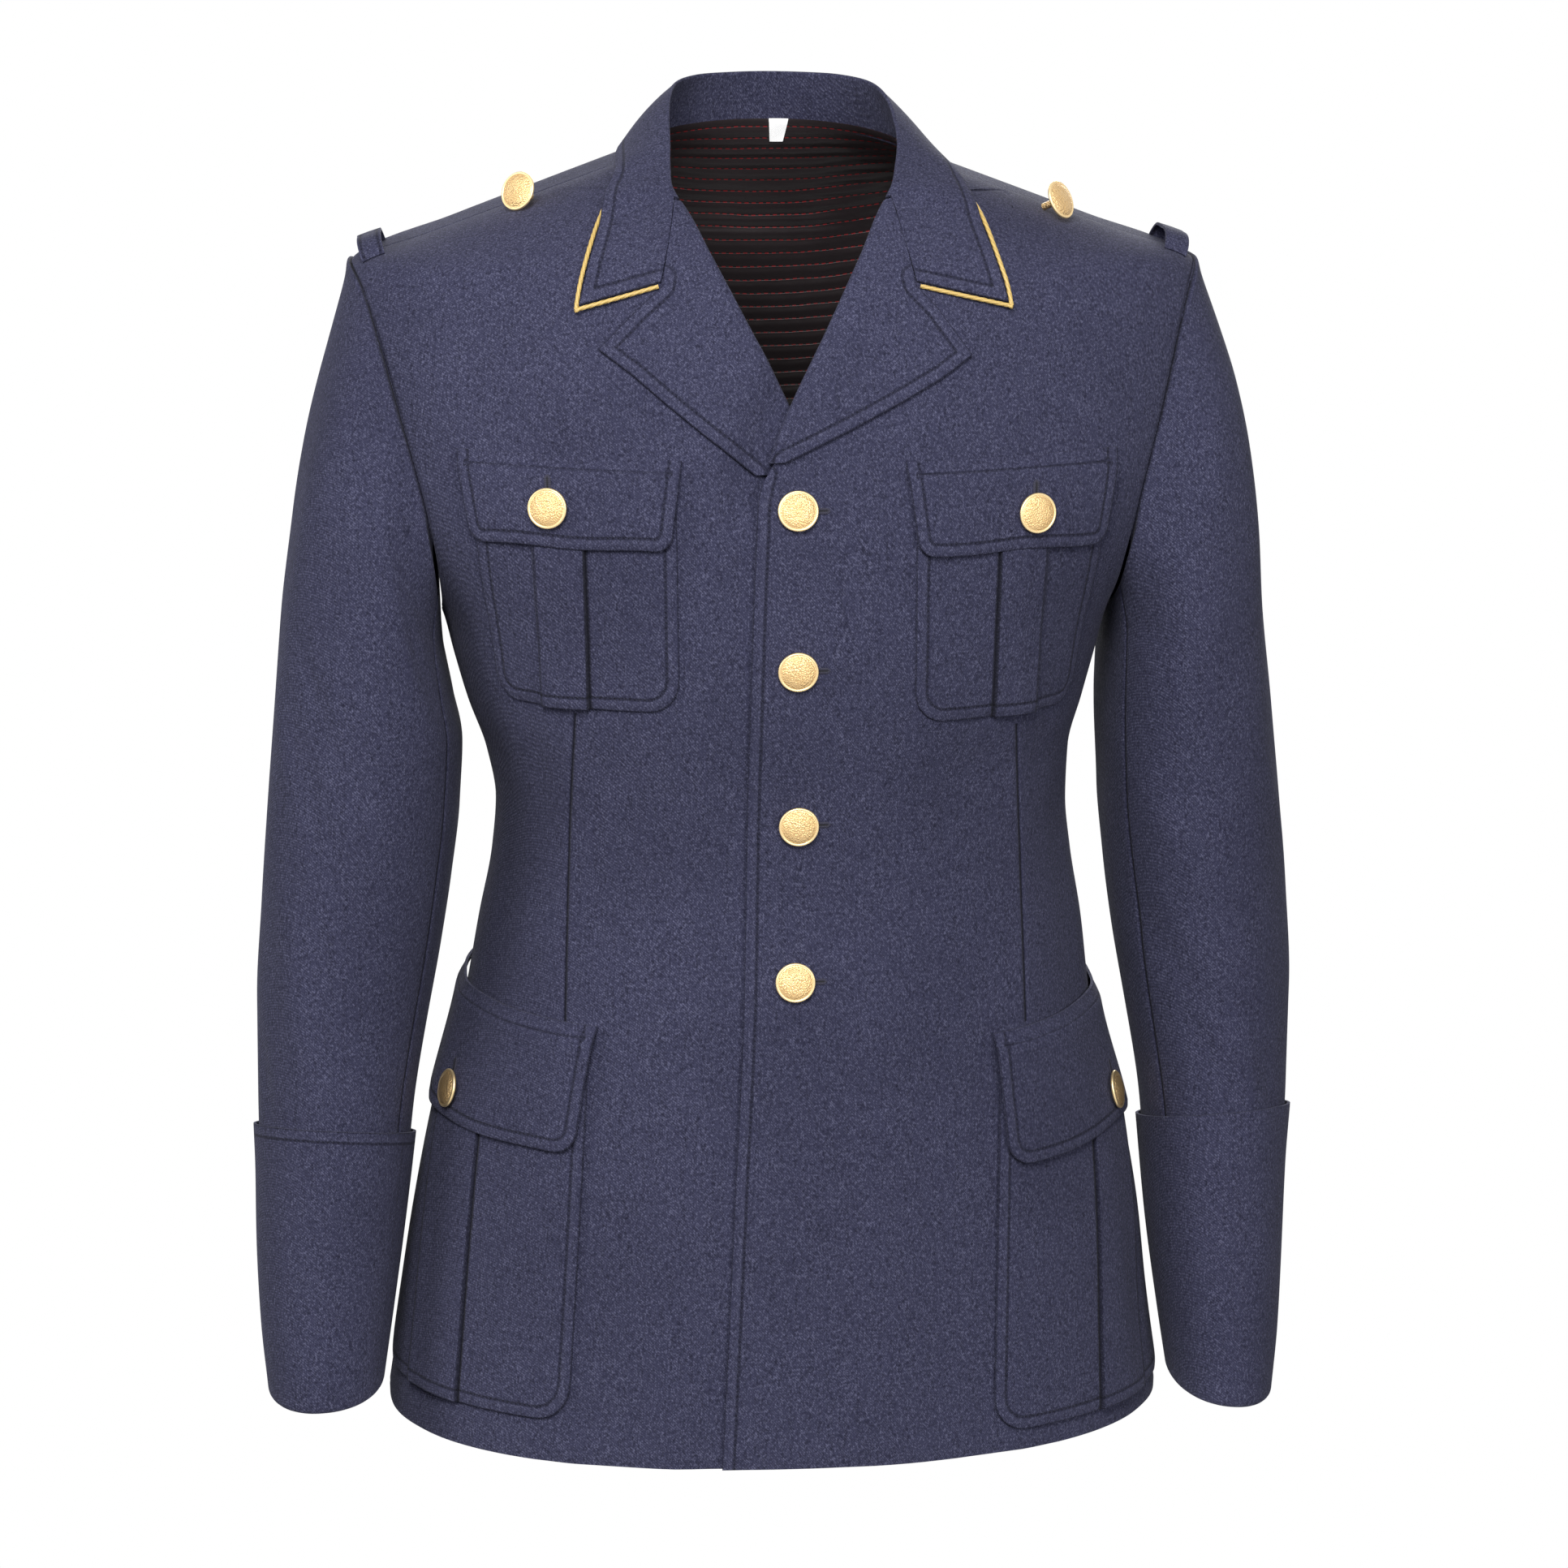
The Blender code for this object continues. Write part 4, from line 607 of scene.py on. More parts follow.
def wool_look(name):
    look = Look(name, WOOL_COLOUR, 0.92)
    fibre = look.noise(1150.0, 2.0, (1.0, 1.0, 0.7))
    fleck = look.noise(620.0, 2.0, (1.0, 1.0, 0.8))
    slub = look.noise(300.0, 2.0, (1.0, 1.0, 0.06))
    drift = look.noise(9.0, 3.0)
    diagonal = (look.part(0) + look.part(1) * 0.8 + look.part(2) * 0.9) * 4300.0
    twill = (diagonal + fibre * 3.0).sin()
    rim = look.value("rim")
    run = look.value("run")
    line = look.value("line")
    groove = (rim - STITCH_IN).bell(0.00075)
    beside = (rim - STITCH_IN + 0.0021).bell(0.0012)
    dashes = (run * (TURN / STITCH_LENGTH)).sin().above(-0.35)
    thread = (rim - STITCH_IN).bell(0.00035) * dashes
    edge = rim.bell(0.0005)
    fold = line.bell(0.0009)
    light = (fibre - 0.50) * 4.0 + twill * 0.22 + (slub - 0.5) * 0.6 + 0.06
    colour = look.tint(None, light, WOOL_LIGHT)
    colour = look.tint(colour, (fleck - 0.50) * 2.3 + (slub - 0.5) * 0.8 + 0.10, WOOL_DARK)
    colour = look.tint(colour, (drift - 0.45) * 0.9, WOOL_DARK)
    # Painted highlight: a faint lighter band between the stitch groove and the edge.
    colour = look.tint(colour, beside * 0.08, WOOL_LIGHT)
    # Painted shade: the topstitch groove and a thin line along each piece's edge are darkened.
    colour = look.tint(colour, groove * 0.74 + edge * 0.66, SEAM_SHADE)
    colour = look.tint(colour, thread * 0.55, WOOL_COLOUR)
    # Painted shade: where line is near zero (seams, darts, pleat folds) the wool is darkened to a dark
    # line.
    colour = look.tint(colour, fold * 0.92, SEAM_SHADE)
    height = twill * 0.16 + fibre * 0.5 + fleck * 0.3
    height = height - groove * 2.2 + thread * 0.9 - fold * 2.5
    look.shader.inputs["Specular IOR Level"].default_value = 0.08
    look.shader.inputs["Sheen Weight"].default_value = 0.04
    look.shader.inputs["Sheen Roughness"].default_value = 0.6
    return look.finish(colour, fibre * -0.15 + 0.98, height, 0.7, 0.0005)


WOOL = wool_look("wool")

# Body panels: two fronts and a back of wool, cut on the same level rows. Each panel's
# edge dips into its seam, and the back has a plain centre seam.
SHOULDER_ROWS = np.array([-0.0004, -0.0080, -0.0170, -0.0270, -0.0370, -0.0460])


def side_angle(level, half):
    """Where a panel ends at the side: shoulder seam, armhole, or side seam."""
    limit = 90.0 - half * float(np.degrees(SEAM / 2 / axes_at(LEFT, level)[0]))
    if level > SHOULDER_LEVEL or level < ARMPIT_LEVEL:
        return limit
    at = float(armhole_angle(level, half))
    return min(at, limit) if half > 0 else max(at, limit)


def roll_edge(level):
    """The cut edge of the left front: set back inside the lapel's roll above the break."""
    return edge_x(level) + (ROLL + CLOTH / 2) * ease((level - BREAK_LEVEL) / 0.004)


EDGE_COLUMNS = (0.0, 0.008, 0.016, 0.027)
MIDDLE_COLUMNS = 4
OUTER_COLUMNS = 4
SIDE_ANCHOR = 52.0


def front_angles(level):
    start_x = float(roll_edge(level))
    start = float(angle_of(start_x, level))
    end = side_angle(level, 1)
    anchor = max(SIDE_ANCHOR, start + 0.55 * (end - start))
    span = np.radians(anchor - start) * 0.13
    scale = min(1.0, 0.55 * span / EDGE_COLUMNS[-1])
    near_edge = [float(angle_of(start_x + dx * scale, level)) for dx in EDGE_COLUMNS]
    middle = np.linspace(near_edge[-1], anchor, MIDDLE_COLUMNS + 1)[1:]
    rest = np.linspace(anchor, end, OUTER_COLUMNS + 1)[1:]
    return np.concatenate([near_edge, middle, rest])


SEAM_DIP = 0.0008
SEAM_HALF_WIDTH = 0.0017
EDGE_STEPS = np.array([0.10, 0.25, 0.45, 0.62, 0.78, 0.90, 1.0])
SHOULDER_FINE = fine(np.concatenate([SHOULDER_ROWS, [SHOULDER_LEVEL]]), 4)[:-1]
ARM_FINE = (SHOULDER_LEVEL + ARMPIT_LEVEL) / 2 + (SHOULDER_LEVEL - ARMPIT_LEVEL) / 2 * np.cos(
    np.radians(np.arange(0.0, 180.1, 3.0))
)
BODY_FINE = np.linspace(ARMPIT_LEVEL, HEM_LEVEL, 126)[1:]
FINE_LEVELS = np.concatenate([SHOULDER_FINE, ARM_FINE, BODY_FINE])
# level, x of each front's waist dart, from the chest pocket down to the lower flap
DARTS = {
    LEFT: np.array([[-0.3000, 0.1254], [-0.3767, 0.1295], [-0.4742, 0.1327]]),
    RIGHT: np.array([[-0.2900, -0.1167], [-0.3722, -0.1195], [-0.4689, -0.1235]]),
}


def spread(values, inside):
    """Places in a row of angles: even inside, and closing up to its last one."""
    last = len(values) - 1
    places = np.concatenate([np.linspace(0, last - 0.25, inside), last - 0.25 + 0.25 * EDGE_STEPS])
    return np.interp(places, np.arange(last + 1), values)


def sewn(row, level):
    """Closes most of the gap between two panels where they are sewn together."""
    front_end = side_angle(level, 1)
    back_end = side_angle(level, -1)
    if abs(back_end - front_end) < 1.5:
        row[-1] += 0.8 * ((front_end + back_end) / 2 - row[-1])
    return row


def valley(points):
    """How much the outer face dips into the seam at the end of each row."""
    length = along_rows(points, 1)
    left = length[:, -1:] - length
    return SEAM_DIP * np.exp(-(left / SEAM_HALF_WIDTH) ** 2), length


def hem_turn(levels):
    """The hem's edge turns in a little."""
    return 0.0007 * np.exp(-(((levels - HEM_LEVEL) / 0.002) ** 2))[:, None]


DART_COLUMN = 34
DART_STEPS = np.array([-0.0030, -0.0014, -0.0006, 0.0, 0.0006, 0.0014, 0.0030])


def with_dart(row, level, side):
    """The row's angles, with seven of its columns drawn together at the dart."""
    table = DARTS[side]
    x = np.interp(-level, -table[:, 0], table[:, 1])
    at = float(side * angle_of(x, level))
    if not row[8] < at < row[-14]:
        return row
    k = DART_COLUMN
    low = row[0] + (row[:k + 1] - row[0]) * (at - row[0]) / (row[k] - row[0])
    high = row[-1] - (row[-1] - row[k:]) * (row[-1] - at) / (row[-1] - row[k])
    row = np.concatenate([low[:-1], high])
    row[k - 3:k + 4] = side * angle_of(x + side * DART_STEPS, level)
    return row


def front(name, side):
    table = DARTS[side]
    rows = [with_dart(sewn(spread(front_angles(z), 72), z), z, side) for z in FINE_LEVELS]
    rows = np.array(rows) * side
    levels = FINE_LEVELS[:, None] + 0.0 * rows
    x = bare(rows, levels)[..., 0]
    drop = -sunk(x, levels) if side == RIGHT else np.zeros(rows.shape)
    dip, length = valley(skin(rows, levels, drop))
    dart_x = np.interp(-levels, -table[:, 0], table[:, 1])
    past = np.maximum(np.maximum(levels - table[0, 0], table[-1, 0] - levels), 0.0)
    # line places the dart's painted shade line in the wool.
    line = np.where(past > 0, FAR, (x - dart_x) * 1.3)
    dip = dip + np.where(line < FAR, 0.0006 * np.exp(-(line / 0.0016) ** 2), 0.0)
    outer = skin(rows, levels, drop - dip - hem_turn(FINE_LEVELS))
    inner = skin(rows, levels, drop - CLOTH)
    below_break = np.maximum(levels - BREAK_LEVEL, 0.0)
    return wall(name, outer, inner, WOOL, name, rim=length + below_break, run=levels, line=line)


fronts = [front("front_left", LEFT), front("front_right", RIGHT)]

BACK_FIXED = np.linspace(180.0, 126.0, 6)
BACK_OUTER_COLUMNS = 3


def back_angles(level):
    start = side_angle(level, -1)
    outer_part = np.linspace(BACK_FIXED[-1], start, BACK_OUTER_COLUMNS + 1)[1:]
    half = np.concatenate([BACK_FIXED, outer_part])
    return np.concatenate([half[::-1], 360.0 - half[1:]])


rows = []
for z in FINE_LEVELS:
    half = back_angles(z)[len(BACK_FIXED) + BACK_OUTER_COLUMNS - 1:]
    right = 360.0 - sewn(360.0 - spread(half, 60), z)
    rows.append(np.concatenate([360.0 - right[::-1], right[1:]]))
rows = np.array(rows)
levels = FINE_LEVELS[:, None] + 0.0 * rows
length = along_rows(skin(rows, levels, 0.0), 1)
near_side = np.minimum(length, length[:, -1:] - length)
dip = SEAM_DIP * np.exp(-(near_side / SEAM_HALF_WIDTH) ** 2)
centre = np.abs(bare(rows, levels)[..., 0])
dip = dip + 0.0005 * np.exp(-(centre / 0.0012) ** 2)
back_outer = skin(rows, levels, -dip - hem_turn(FINE_LEVELS))
back_inner = skin(rows, levels, -CLOTH)
# line places a painted shade line along the centre back seam.
back = wall("back", back_outer, back_inner, WOOL, "back", line=centre)

# Lapels: the front's facing rolls over its edge and lies on the chest. Wool, pressed,
# topstitched along the free edge and sewn to the collar at the gorge.
LAPELS = {
    LEFT: np.array([
        [-0.0190, 0.0588],
        [-0.0330, 0.0623],
        [-0.0460, 0.0657],
        [-0.0580, 0.0684],
        [-0.0625, 0.0694],
        [-0.0736, 0.0802],
        [-0.0985, 0.0985],
        [-0.1100, 0.0815],
        [-0.1224, 0.0585],
        [-0.1370, 0.0290],
        [-0.1525, -0.0040],
    ]),
    RIGHT: np.array([
        [-0.0190, 0.0586],
        [-0.0330, 0.0612],
        [-0.0460, 0.0642],
        [-0.0572, 0.0664],
        [-0.0620, 0.0674],
        [-0.0736, 0.0810],
        [-0.0940, 0.1020],
        [-0.1080, 0.0830],
        [-0.1224, 0.0662],
        [-0.1370, 0.0480],
        [-0.1525, 0.0275],
        [-0.1580, 0.0200],
    ]),
}
UNDER_LAPEL_WRAP = -CLOTH / 2 - ROLL
LAPEL_LIE = ROLL - CLOTH / 2
LAPEL_SINK = 0.92
RIGHT_TUCK = 0.0005


def lapel(name, side):
    table = LAPELS[side]
    corner = 3
    levels = np.unique(np.concatenate([table[:, 0], np.linspace(table[0, 0], table[-1, 0], 78)]))[::-1]
    outer_xs = np.interp(-levels, -table[:, 0], table[:, 1])
    grid = []
    for level, outer_x in zip(levels, outer_xs):
        edge = float(roll_edge(level))
        openness = float(ease((level + 0.150) / 0.090))
        tail = 0.0012 + 0.009 * float(ease((level + 0.118) / 0.050))
        width = outer_x - edge
        swell = min(0.0022, 0.030 * width) * openness
        under = UNDER_LAPEL_WRAP - (RIGHT_TUCK if side == RIGHT else 0.0)
        turns = np.radians(np.linspace(10.0, 170.0, 13))
        flat = np.concatenate([np.linspace(0.03, 0.9, 26), [0.94, 0.97, 0.985, 1.0]]) * width
        dx = np.concatenate([[tail, tail * 0.5], -ROLL * np.sin(turns), flat])
        bump = swell * np.exp(-((flat - 0.010) / 0.010) ** 2)
        high = np.concatenate([
            [under, under],
            -CLOTH / 2 - ROLL * np.cos(turns),
            LAPEL_LIE + bump + 0.0008 * flat / max(width, 1e-6),
        ])
        x = edge + dx
        sink = np.zeros(len(x)) if side == LEFT else sunk(side * x, level)
        sink = np.where(high > 0, LAPEL_SINK * sink, sink)
        grid.append(skin(side * angle_of(x, level), level, high - sink))
    grid = np.array(grid)
    lift = grid_normals(grid) * (side * CLOTH / 2)
    free = grid[levels <= table[corner, 0] + 1e-6, -1]
    rim, run = from_edge(grid, free)
    soft = 0.0004 * np.exp(-(rim / 0.0008) ** 2)[..., None] * unit(lift)
    return wall(name, grid + lift - soft, grid - lift, WOOL, name, rim=rim, run=run)


lapels = [lapel("lapel_left", LEFT), lapel("lapel_right", RIGHT)]

# Collar: one folded sheet of wool, its stand inside the neck seam and its fall over the
# shoulders, with long points. It is topstitched 6.5 mm in from its edge.
# Gorge rows run from the notch up to the roll: inner edge and outer edge on the chest.
GORGE = {
    LEFT: np.array([
        # inner x, inner level, outer x, outer level
        [0.0700, -0.0600, 0.1195, -0.0718],
        [0.0672, -0.0490, 0.1170, -0.0620],
        [0.0640, -0.0370, 0.1143, -0.0530],
        [0.0612, -0.0250, 0.1115, -0.0440],
    ]),
    RIGHT: np.array([
        [0.0680, -0.0592, 0.1120, -0.0718],
        [0.0655, -0.0490, 0.1090, -0.0610],
        [0.0625, -0.0370, 0.1058, -0.0500],
        [0.0602, -0.0250, 0.1022, -0.0400],
    ]),
}
# Neck rows run from the roll round to the centre back: the neck edge as angle and level,
# the fold as a point, the outer edge as an angle (or, in front, an x) and a level.
NECK = {
    LEFT: np.array([
        # neck angle, neck level, fold x, fold y, fold z, outer angle, outer x, outer level, wrap
        [0.0, -0.0170, 0.0565, -0.0705, -0.0165, 0.0, 0.1082, -0.0340, 0.0],
        [0.0, -0.0130, 0.0592, -0.0590, -0.0085, 0.0, 0.1052, -0.0255, 1.0],
        [0.0, -0.0085, 0.0622, -0.0450, 0.0010, 0.0, 0.1022, -0.0175, 1.0],
        [0.0, -0.0035, 0.0652, -0.0270, 0.0125, 0.0, 0.0975, -0.0095, 1.0],
        [90.0, -0.0002, 0.0650, -0.0060, 0.0255, 90.0, 0.0, -0.0032, 1.0],
        [104.0, -0.0002, 0.0628, 0.0160, 0.0350, 103.0, 0.0, -0.0020, 1.0],
        [120.0, -0.0002, 0.0560, 0.0380, 0.0415, 118.0, 0.0, -0.0018, 1.0],
        [140.0, -0.0002, 0.0410, 0.0560, 0.0445, 138.0, 0.0, -0.0045, 1.0],
        [160.0, -0.0002, 0.0230, 0.0660, 0.0455, 158.0, 0.0, -0.0090, 1.0],
        [180.0, -0.0002, 0.0000, 0.0695, 0.0460, 180.0, 0.0, -0.0125, 1.0],
    ]),
    RIGHT: np.array([
        [0.0, -0.0170, 0.0565, -0.0705, -0.0165, 0.0, 0.0992, -0.0315, 0.0],
        [0.0, -0.0130, 0.0585, -0.0590, -0.0085, 0.0, 0.0967, -0.0238, 1.0],
        [0.0, -0.0085, 0.0585, -0.0450, 0.0010, 0.0, 0.0940, -0.0165, 1.0],
        [0.0, -0.0035, 0.0576, -0.0270, 0.0125, 0.0, 0.0888, -0.0080, 1.0],
        [90.0, -0.0002, 0.0570, -0.0060, 0.0260, 90.0, 0.0, -0.0014, 1.0],
        [104.0, -0.0002, 0.0550, 0.0160, 0.0360, 103.0, 0.0, -0.0008, 1.0],
        [120.0, -0.0002, 0.0498, 0.0380, 0.0420, 118.0, 0.0, -0.0008, 1.0],
        [140.0, -0.0002, 0.0378, 0.0560, 0.0447, 138.0, 0.0, -0.0036, 1.0],
        [160.0, -0.0002, 0.0205, 0.0660, 0.0456, 158.0, 0.0, -0.0086, 1.0],
        [180.0, -0.0002, 0.0000, 0.0695, 0.0460, 180.0, 0.0, -0.0125, 1.0],
    ]),
}
COLLAR_LIE = 0.0014
FALL_LIE = 0.0050
POINT_LIE = 0.0030
FOLD_REACH = 0.0050
FALL_BULGE = 0.0018
STAND_SHARES = (0.0, 0.35, 0.70)
BEND_SHARES = (0.0, 0.25, 0.5, 0.75, 1.0)
BEND_COLUMNS = len(STAND_SHARES) + len(BEND_SHARES)
FALL_SHARES = (0.22, 0.44, 0.64, 0.82, 1.0)


def mirrored(point, side):
    return np.array([side * point[0], point[1], point[2]])


def bezier(a, b, c, t):
    return (1 - t) ** 2 * a + 2 * t * (1 - t) * b + t * t * c


def collar_rows(side):
    """Middle points of the collar from its front edge to the centre back."""
    rows = []
    for inner_x, inner_level, outer_x, outer_level in GORGE[side]:
        start = np.array([inner_x, inner_level])
        end = np.array([outer_x, outer_level])
        row = []
        for share in [0.0] * BEND_COLUMNS + list(FALL_SHARES):
            x, level = start + (end - start) * share
            lie = COLLAR_LIE + (POINT_LIE - COLLAR_LIE) * share
            row.append(skin(side * angle_of(x, level), level, lie))
        rows.append(row)
    table = NECK[side]
    neck_levels = table[:, 1]
    front_part = neck_levels < -0.001
    neck_angles = side * np.where(front_part, angle_of(roll_edge(neck_levels), neck_levels), table[:, 0])
    out_angles = side * np.where(table[:, 5] > 0, table[:, 5], angle_of(table[:, 6], table[:, 7]))
    rims = skin(neck_angles, neck_levels, -CLOTH / 2)
    rim_normals = normal_at(neck_angles, neck_levels)
    aways = unit(np.cross(np.gradient(rims, axis=0), rim_normals))
    aways *= np.sign(np.sum(aways * rims * np.array([1.0, 1.0, 0.0]), axis=1))[:, None]
    for k, row_of_table in enumerate(table):
        neck_angle, neck_level = neck_angles[k], neck_levels[k]
        fx, fy, fz = row_of_table[2:5]
        out_angle, out_level, wrap = out_angles[k], row_of_table[7], row_of_table[8]
        away = aways[k]
        seated = rims[k] - away * (CLOTH / 2 + SEAM + 0.0003) - rim_normals[k] * 0.0005
        tucked = skin(neck_angle, neck_level, UNDER_LAPEL_WRAP) - away * 0.0002
        foot = wrap * seated + (1 - wrap) * tucked
        fold = mirrored((fx, fy, fz), side)
        edge_lie = POINT_LIE + (FALL_LIE - POINT_LIE) * wrap
        edge = skin(out_angle, out_level, edge_lie)
        over = skin(neck_angle, neck_level, LAPEL_LIE)
        under = skin(neck_angle, neck_level, UNDER_LAPEL_WRAP)
        beyond = skin(neck_angle, neck_level, -CLOTH / 2) - np.array([side * 2 * ROLL, 0.0, 0.0])
        rise = unit(fold - foot)
        fall = unit(edge - fold)
        start = wrap * (fold - rise * FOLD_REACH) + (1 - wrap) * under
        middle = wrap * fold + (1 - wrap) * beyond
        end = wrap * (fold + fall * FOLD_REACH) + (1 - wrap) * over
        row = [foot + (start - foot) * share for share in STAND_SHARES]
        row += [bezier(start, middle, end, t) for t in BEND_SHARES]
        guide = end + (edge - end) * 0.5
        lift = unit(np.array([guide[0] * 1.2, guide[1] * 1.2, 0.10]))
        bulge = FALL_BULGE * wrap
        for share in FALL_SHARES:
            point = end + (edge - end) * share
            if wrap < 1.0:
                hug = neck_angle + (out_angle - neck_angle) * share
                level = neck_level + (out_level - neck_level) * share
                on_chest = skin(hug, level, LAPEL_LIE + (edge_lie - LAPEL_LIE) * share)
                point = wrap * point + (1 - wrap) * on_chest
            point = point + lift * bulge * 4 * share * (1 - share)
            row.append(point)
        rows.append(row)
    return rows


def rounder(grid, times, axis):
    """The same grid with smooth in-between points along one axis."""
    grid = np.moveaxis(grid, axis, 0)
    count = len(grid)
    padded = np.concatenate([2 * grid[:1] - grid[1:2], grid, 2 * grid[-1:] - grid[-2:-1]])
    made = []
    for at in np.linspace(0, count - 1, (count - 1) * times + 1):
        k = min(int(at), count - 2)
        t = at - k
        a, b, c, d = padded[k:k + 4]
        slope_b = (c - a) / 2
        slope_c = (d - b) / 2
        curve = (1 + 2 * t) * (1 - t) ** 2 * b + t * (1 - t) ** 2 * slope_b
        made.append(curve + t * t * (3 - 2 * t) * c + t * t * (t - 1) * slope_c)
    return np.moveaxis(np.array(made), 0, axis)


right_rows = collar_rows(RIGHT)
left_rows = collar_rows(LEFT)
coarse = np.array(right_rows + left_rows[::-1][1:])
gorge = len(GORGE[LEFT])
FALL_FROM = BEND_COLUMNS - 1
ALONG = 8
DOWN = 5
fall = rounder(coarse[:, FALL_FROM:], ALONG, 0)
fall = rounder(fall, DOWN, 1)
stand = rounder(coarse[gorge:len(coarse) - gorge, :FALL_FROM + 1], ALONG, 0)
stand = rounder(stand, DOWN, 1)
skipped = gorge * ALONG
edge_copy = np.repeat(fall[:, :1], stand.shape[1] - 1, 1)
edge_copy[skipped:len(fall) - skipped] = stand[:, :-1]
collar_mid = np.concatenate([edge_copy, fall], 1)
first_fall = stand.shape[1] - 1
kept = np.ones((len(collar_mid) - 1, collar_mid.shape[1] - 1), bool)
kept[:skipped, :first_fall] = False
kept[len(kept) - skipped:, :first_fall] = False
lift = grid_normals(collar_mid)
for part_of in (slice(0, skipped), slice(len(lift) - skipped, len(lift))):
    lift[part_of, :first_fall + 1] = lift[part_of, first_fall + 2:first_fall + 3]
free = np.concatenate([collar_mid[0, first_fall:], collar_mid[1:-1, -1], collar_mid[-1, first_fall:][::-1]])
rim, run = from_edge(collar_mid, free)
soft = 0.0004 * np.exp(-(rim / 0.0008) ** 2)[..., None] * lift
facing = 1.0 if np.dot(lift[len(lift) // 2, -2], [0.0, 1.0, 0.3]) > 0 else -1.0
collar_outer = collar_mid + (lift * (CLOTH / 2) - soft) * facing
collar_inner = collar_mid - lift * (CLOTH / 2) * facing
collar = wall("collar", collar_outer, collar_inner, WOOL, "collar", kept, rim=rim, run=run)

# Collar cord: a twisted cord of yellow-gold thread, 2.4 mm thick, sewn along the collar's
# front edge and point, and tucked under its outer edge round the neck.
CORD_RADIUS = 0.0012
CORD_PITCH = 0.0046
STRANDS = 3
COARSE_STEPS = len(coarse)
coarse_lift = grid_normals(coarse)
outer_edge = coarse[:, -1]
outward = unit(coarse[:, -1] - coarse[:, -2])
facing = np.sign(np.sum(coarse_lift[:, -1] * unit(outer_edge + [0.0, 0.0, 0.20]), axis=1))
below = -coarse_lift[:, -1] * facing[:, None]
clear = CORD_RADIUS + 0.0009
under = CLOTH / 2 + clear + 0.0003
steps = np.arange(COARSE_STEPS)
steps_in = np.minimum(steps, steps[::-1] - 0.8)
turn = ease((steps_in - 3.0) / 3.0)[:, None] * np.radians(110.0)
cord_edge = outer_edge + outward * clear * np.cos(turn) + below * under * np.sin(turn)


def front_cord(row, next_row):
    """The cord along the collar's front edge, from the notch to the point."""
    across = unit(row[-1] - row[FALL_FROM])
    ahead = row[-1] - next_row[-1]
    ahead = unit(ahead - across * np.dot(ahead, across))
    first = row[FALL_FROM] + (row[FALL_FROM + 1] - row[FALL_FROM]) * 0.20
    places = [first] + [row[k] for k in range(FALL_FROM + 1, len(row))]
    along = [place + ahead * clear for place in places]
    return along + [row[-1] + (ahead + across) * clear * 0.85]


path = front_cord(coarse[0], coarse[1]) + list(cord_edge[1:-1])
path = np.array(path + front_cord(coarse[-1], coarse[-2])[::-1])
smooth_path = rounder(path, 12, 0)
length = np.concatenate([[0.0], np.cumsum(np.linalg.norm(np.diff(smooth_path, axis=0), axis=1))])
at = np.linspace(0.0, length[-1], int(length[-1] / 0.0006))
path = np.stack([np.interp(at, length, smooth_path[:, k]) for k in range(3)], -1)
heading = unit(np.gradient(path, axis=0))
heading = unit(heading + np.roll(heading, 1, 0) + np.roll(heading, -1, 0))
heading[0] = heading[1]
heading[-1] = heading[-2]
aside = unit(np.cross(heading, [0.0, 0.25, 1.0]))
third = np.cross(heading, aside)
AROUND = 15
turns = np.arange(AROUND) * 2 * np.pi / AROUND
twist = STRANDS * (turns[None, :] + at[:, None] * 2 * np.pi / (CORD_PITCH * STRANDS))
radius = CORD_RADIUS * (0.84 + 0.20 * np.abs(np.cos(twist / 2)))
rope = path[:, None] + radius[..., None] * (
    aside[:, None] * np.cos(turns)[None, :, None] + third[:, None] * np.sin(turns)[None, :, None]
)
quads = []
for j in range(AROUND):
    n = (j + 1) % AROUND
    k = np.arange(len(path) - 1)
    quads.append(np.stack([k * AROUND + j, k * AROUND + n, (k + 1) * AROUND + n, (k + 1) * AROUND + j], -1))
quads = turned_out(rope.reshape(-1, 3), np.concatenate(quads))
ends = [list(range(AROUND))[::-1], list(range((len(path) - 1) * AROUND, len(path) * AROUND))]
if np.dot(np.cross(rope[1, 0] - rope[0, 0], rope[0, 1] - rope[0, 0]), rope[0, 0] - path[0]) > 0:
    ends = [face[::-1] for face in ends]
gold_cord = Look("gold_cord", (0.80, 0.52, 0.13), 0.48)
groove = gold_cord.value("groove")
sheen = gold_cord.noise(1500.0, 2.0)
# Painted sheen: the fine noise lightens the gold in speckles.
tone = gold_cord.tint(None, sheen * 0.7, (0.95, 0.74, 0.30))
# Painted shade: the grooves between the cord's strands are tinted dark brown.
tone = gold_cord.tint(tone, groove * 0.8, (0.26, 0.12, 0.030))
CORD = gold_cord.finish(tone, None, sheen, 0.4, 0.0003)
gold_cord.shader.inputs["Specular IOR Level"].default_value = 0.6
deep = 1.0 - np.abs(np.cos(twist / 2))
shape(
    "collar_cord", rope.reshape(-1, 3), quads.tolist() + ends, CORD, ["collar_cord"],
    {"groove": deep ** 3}, sharp=80.0,
)

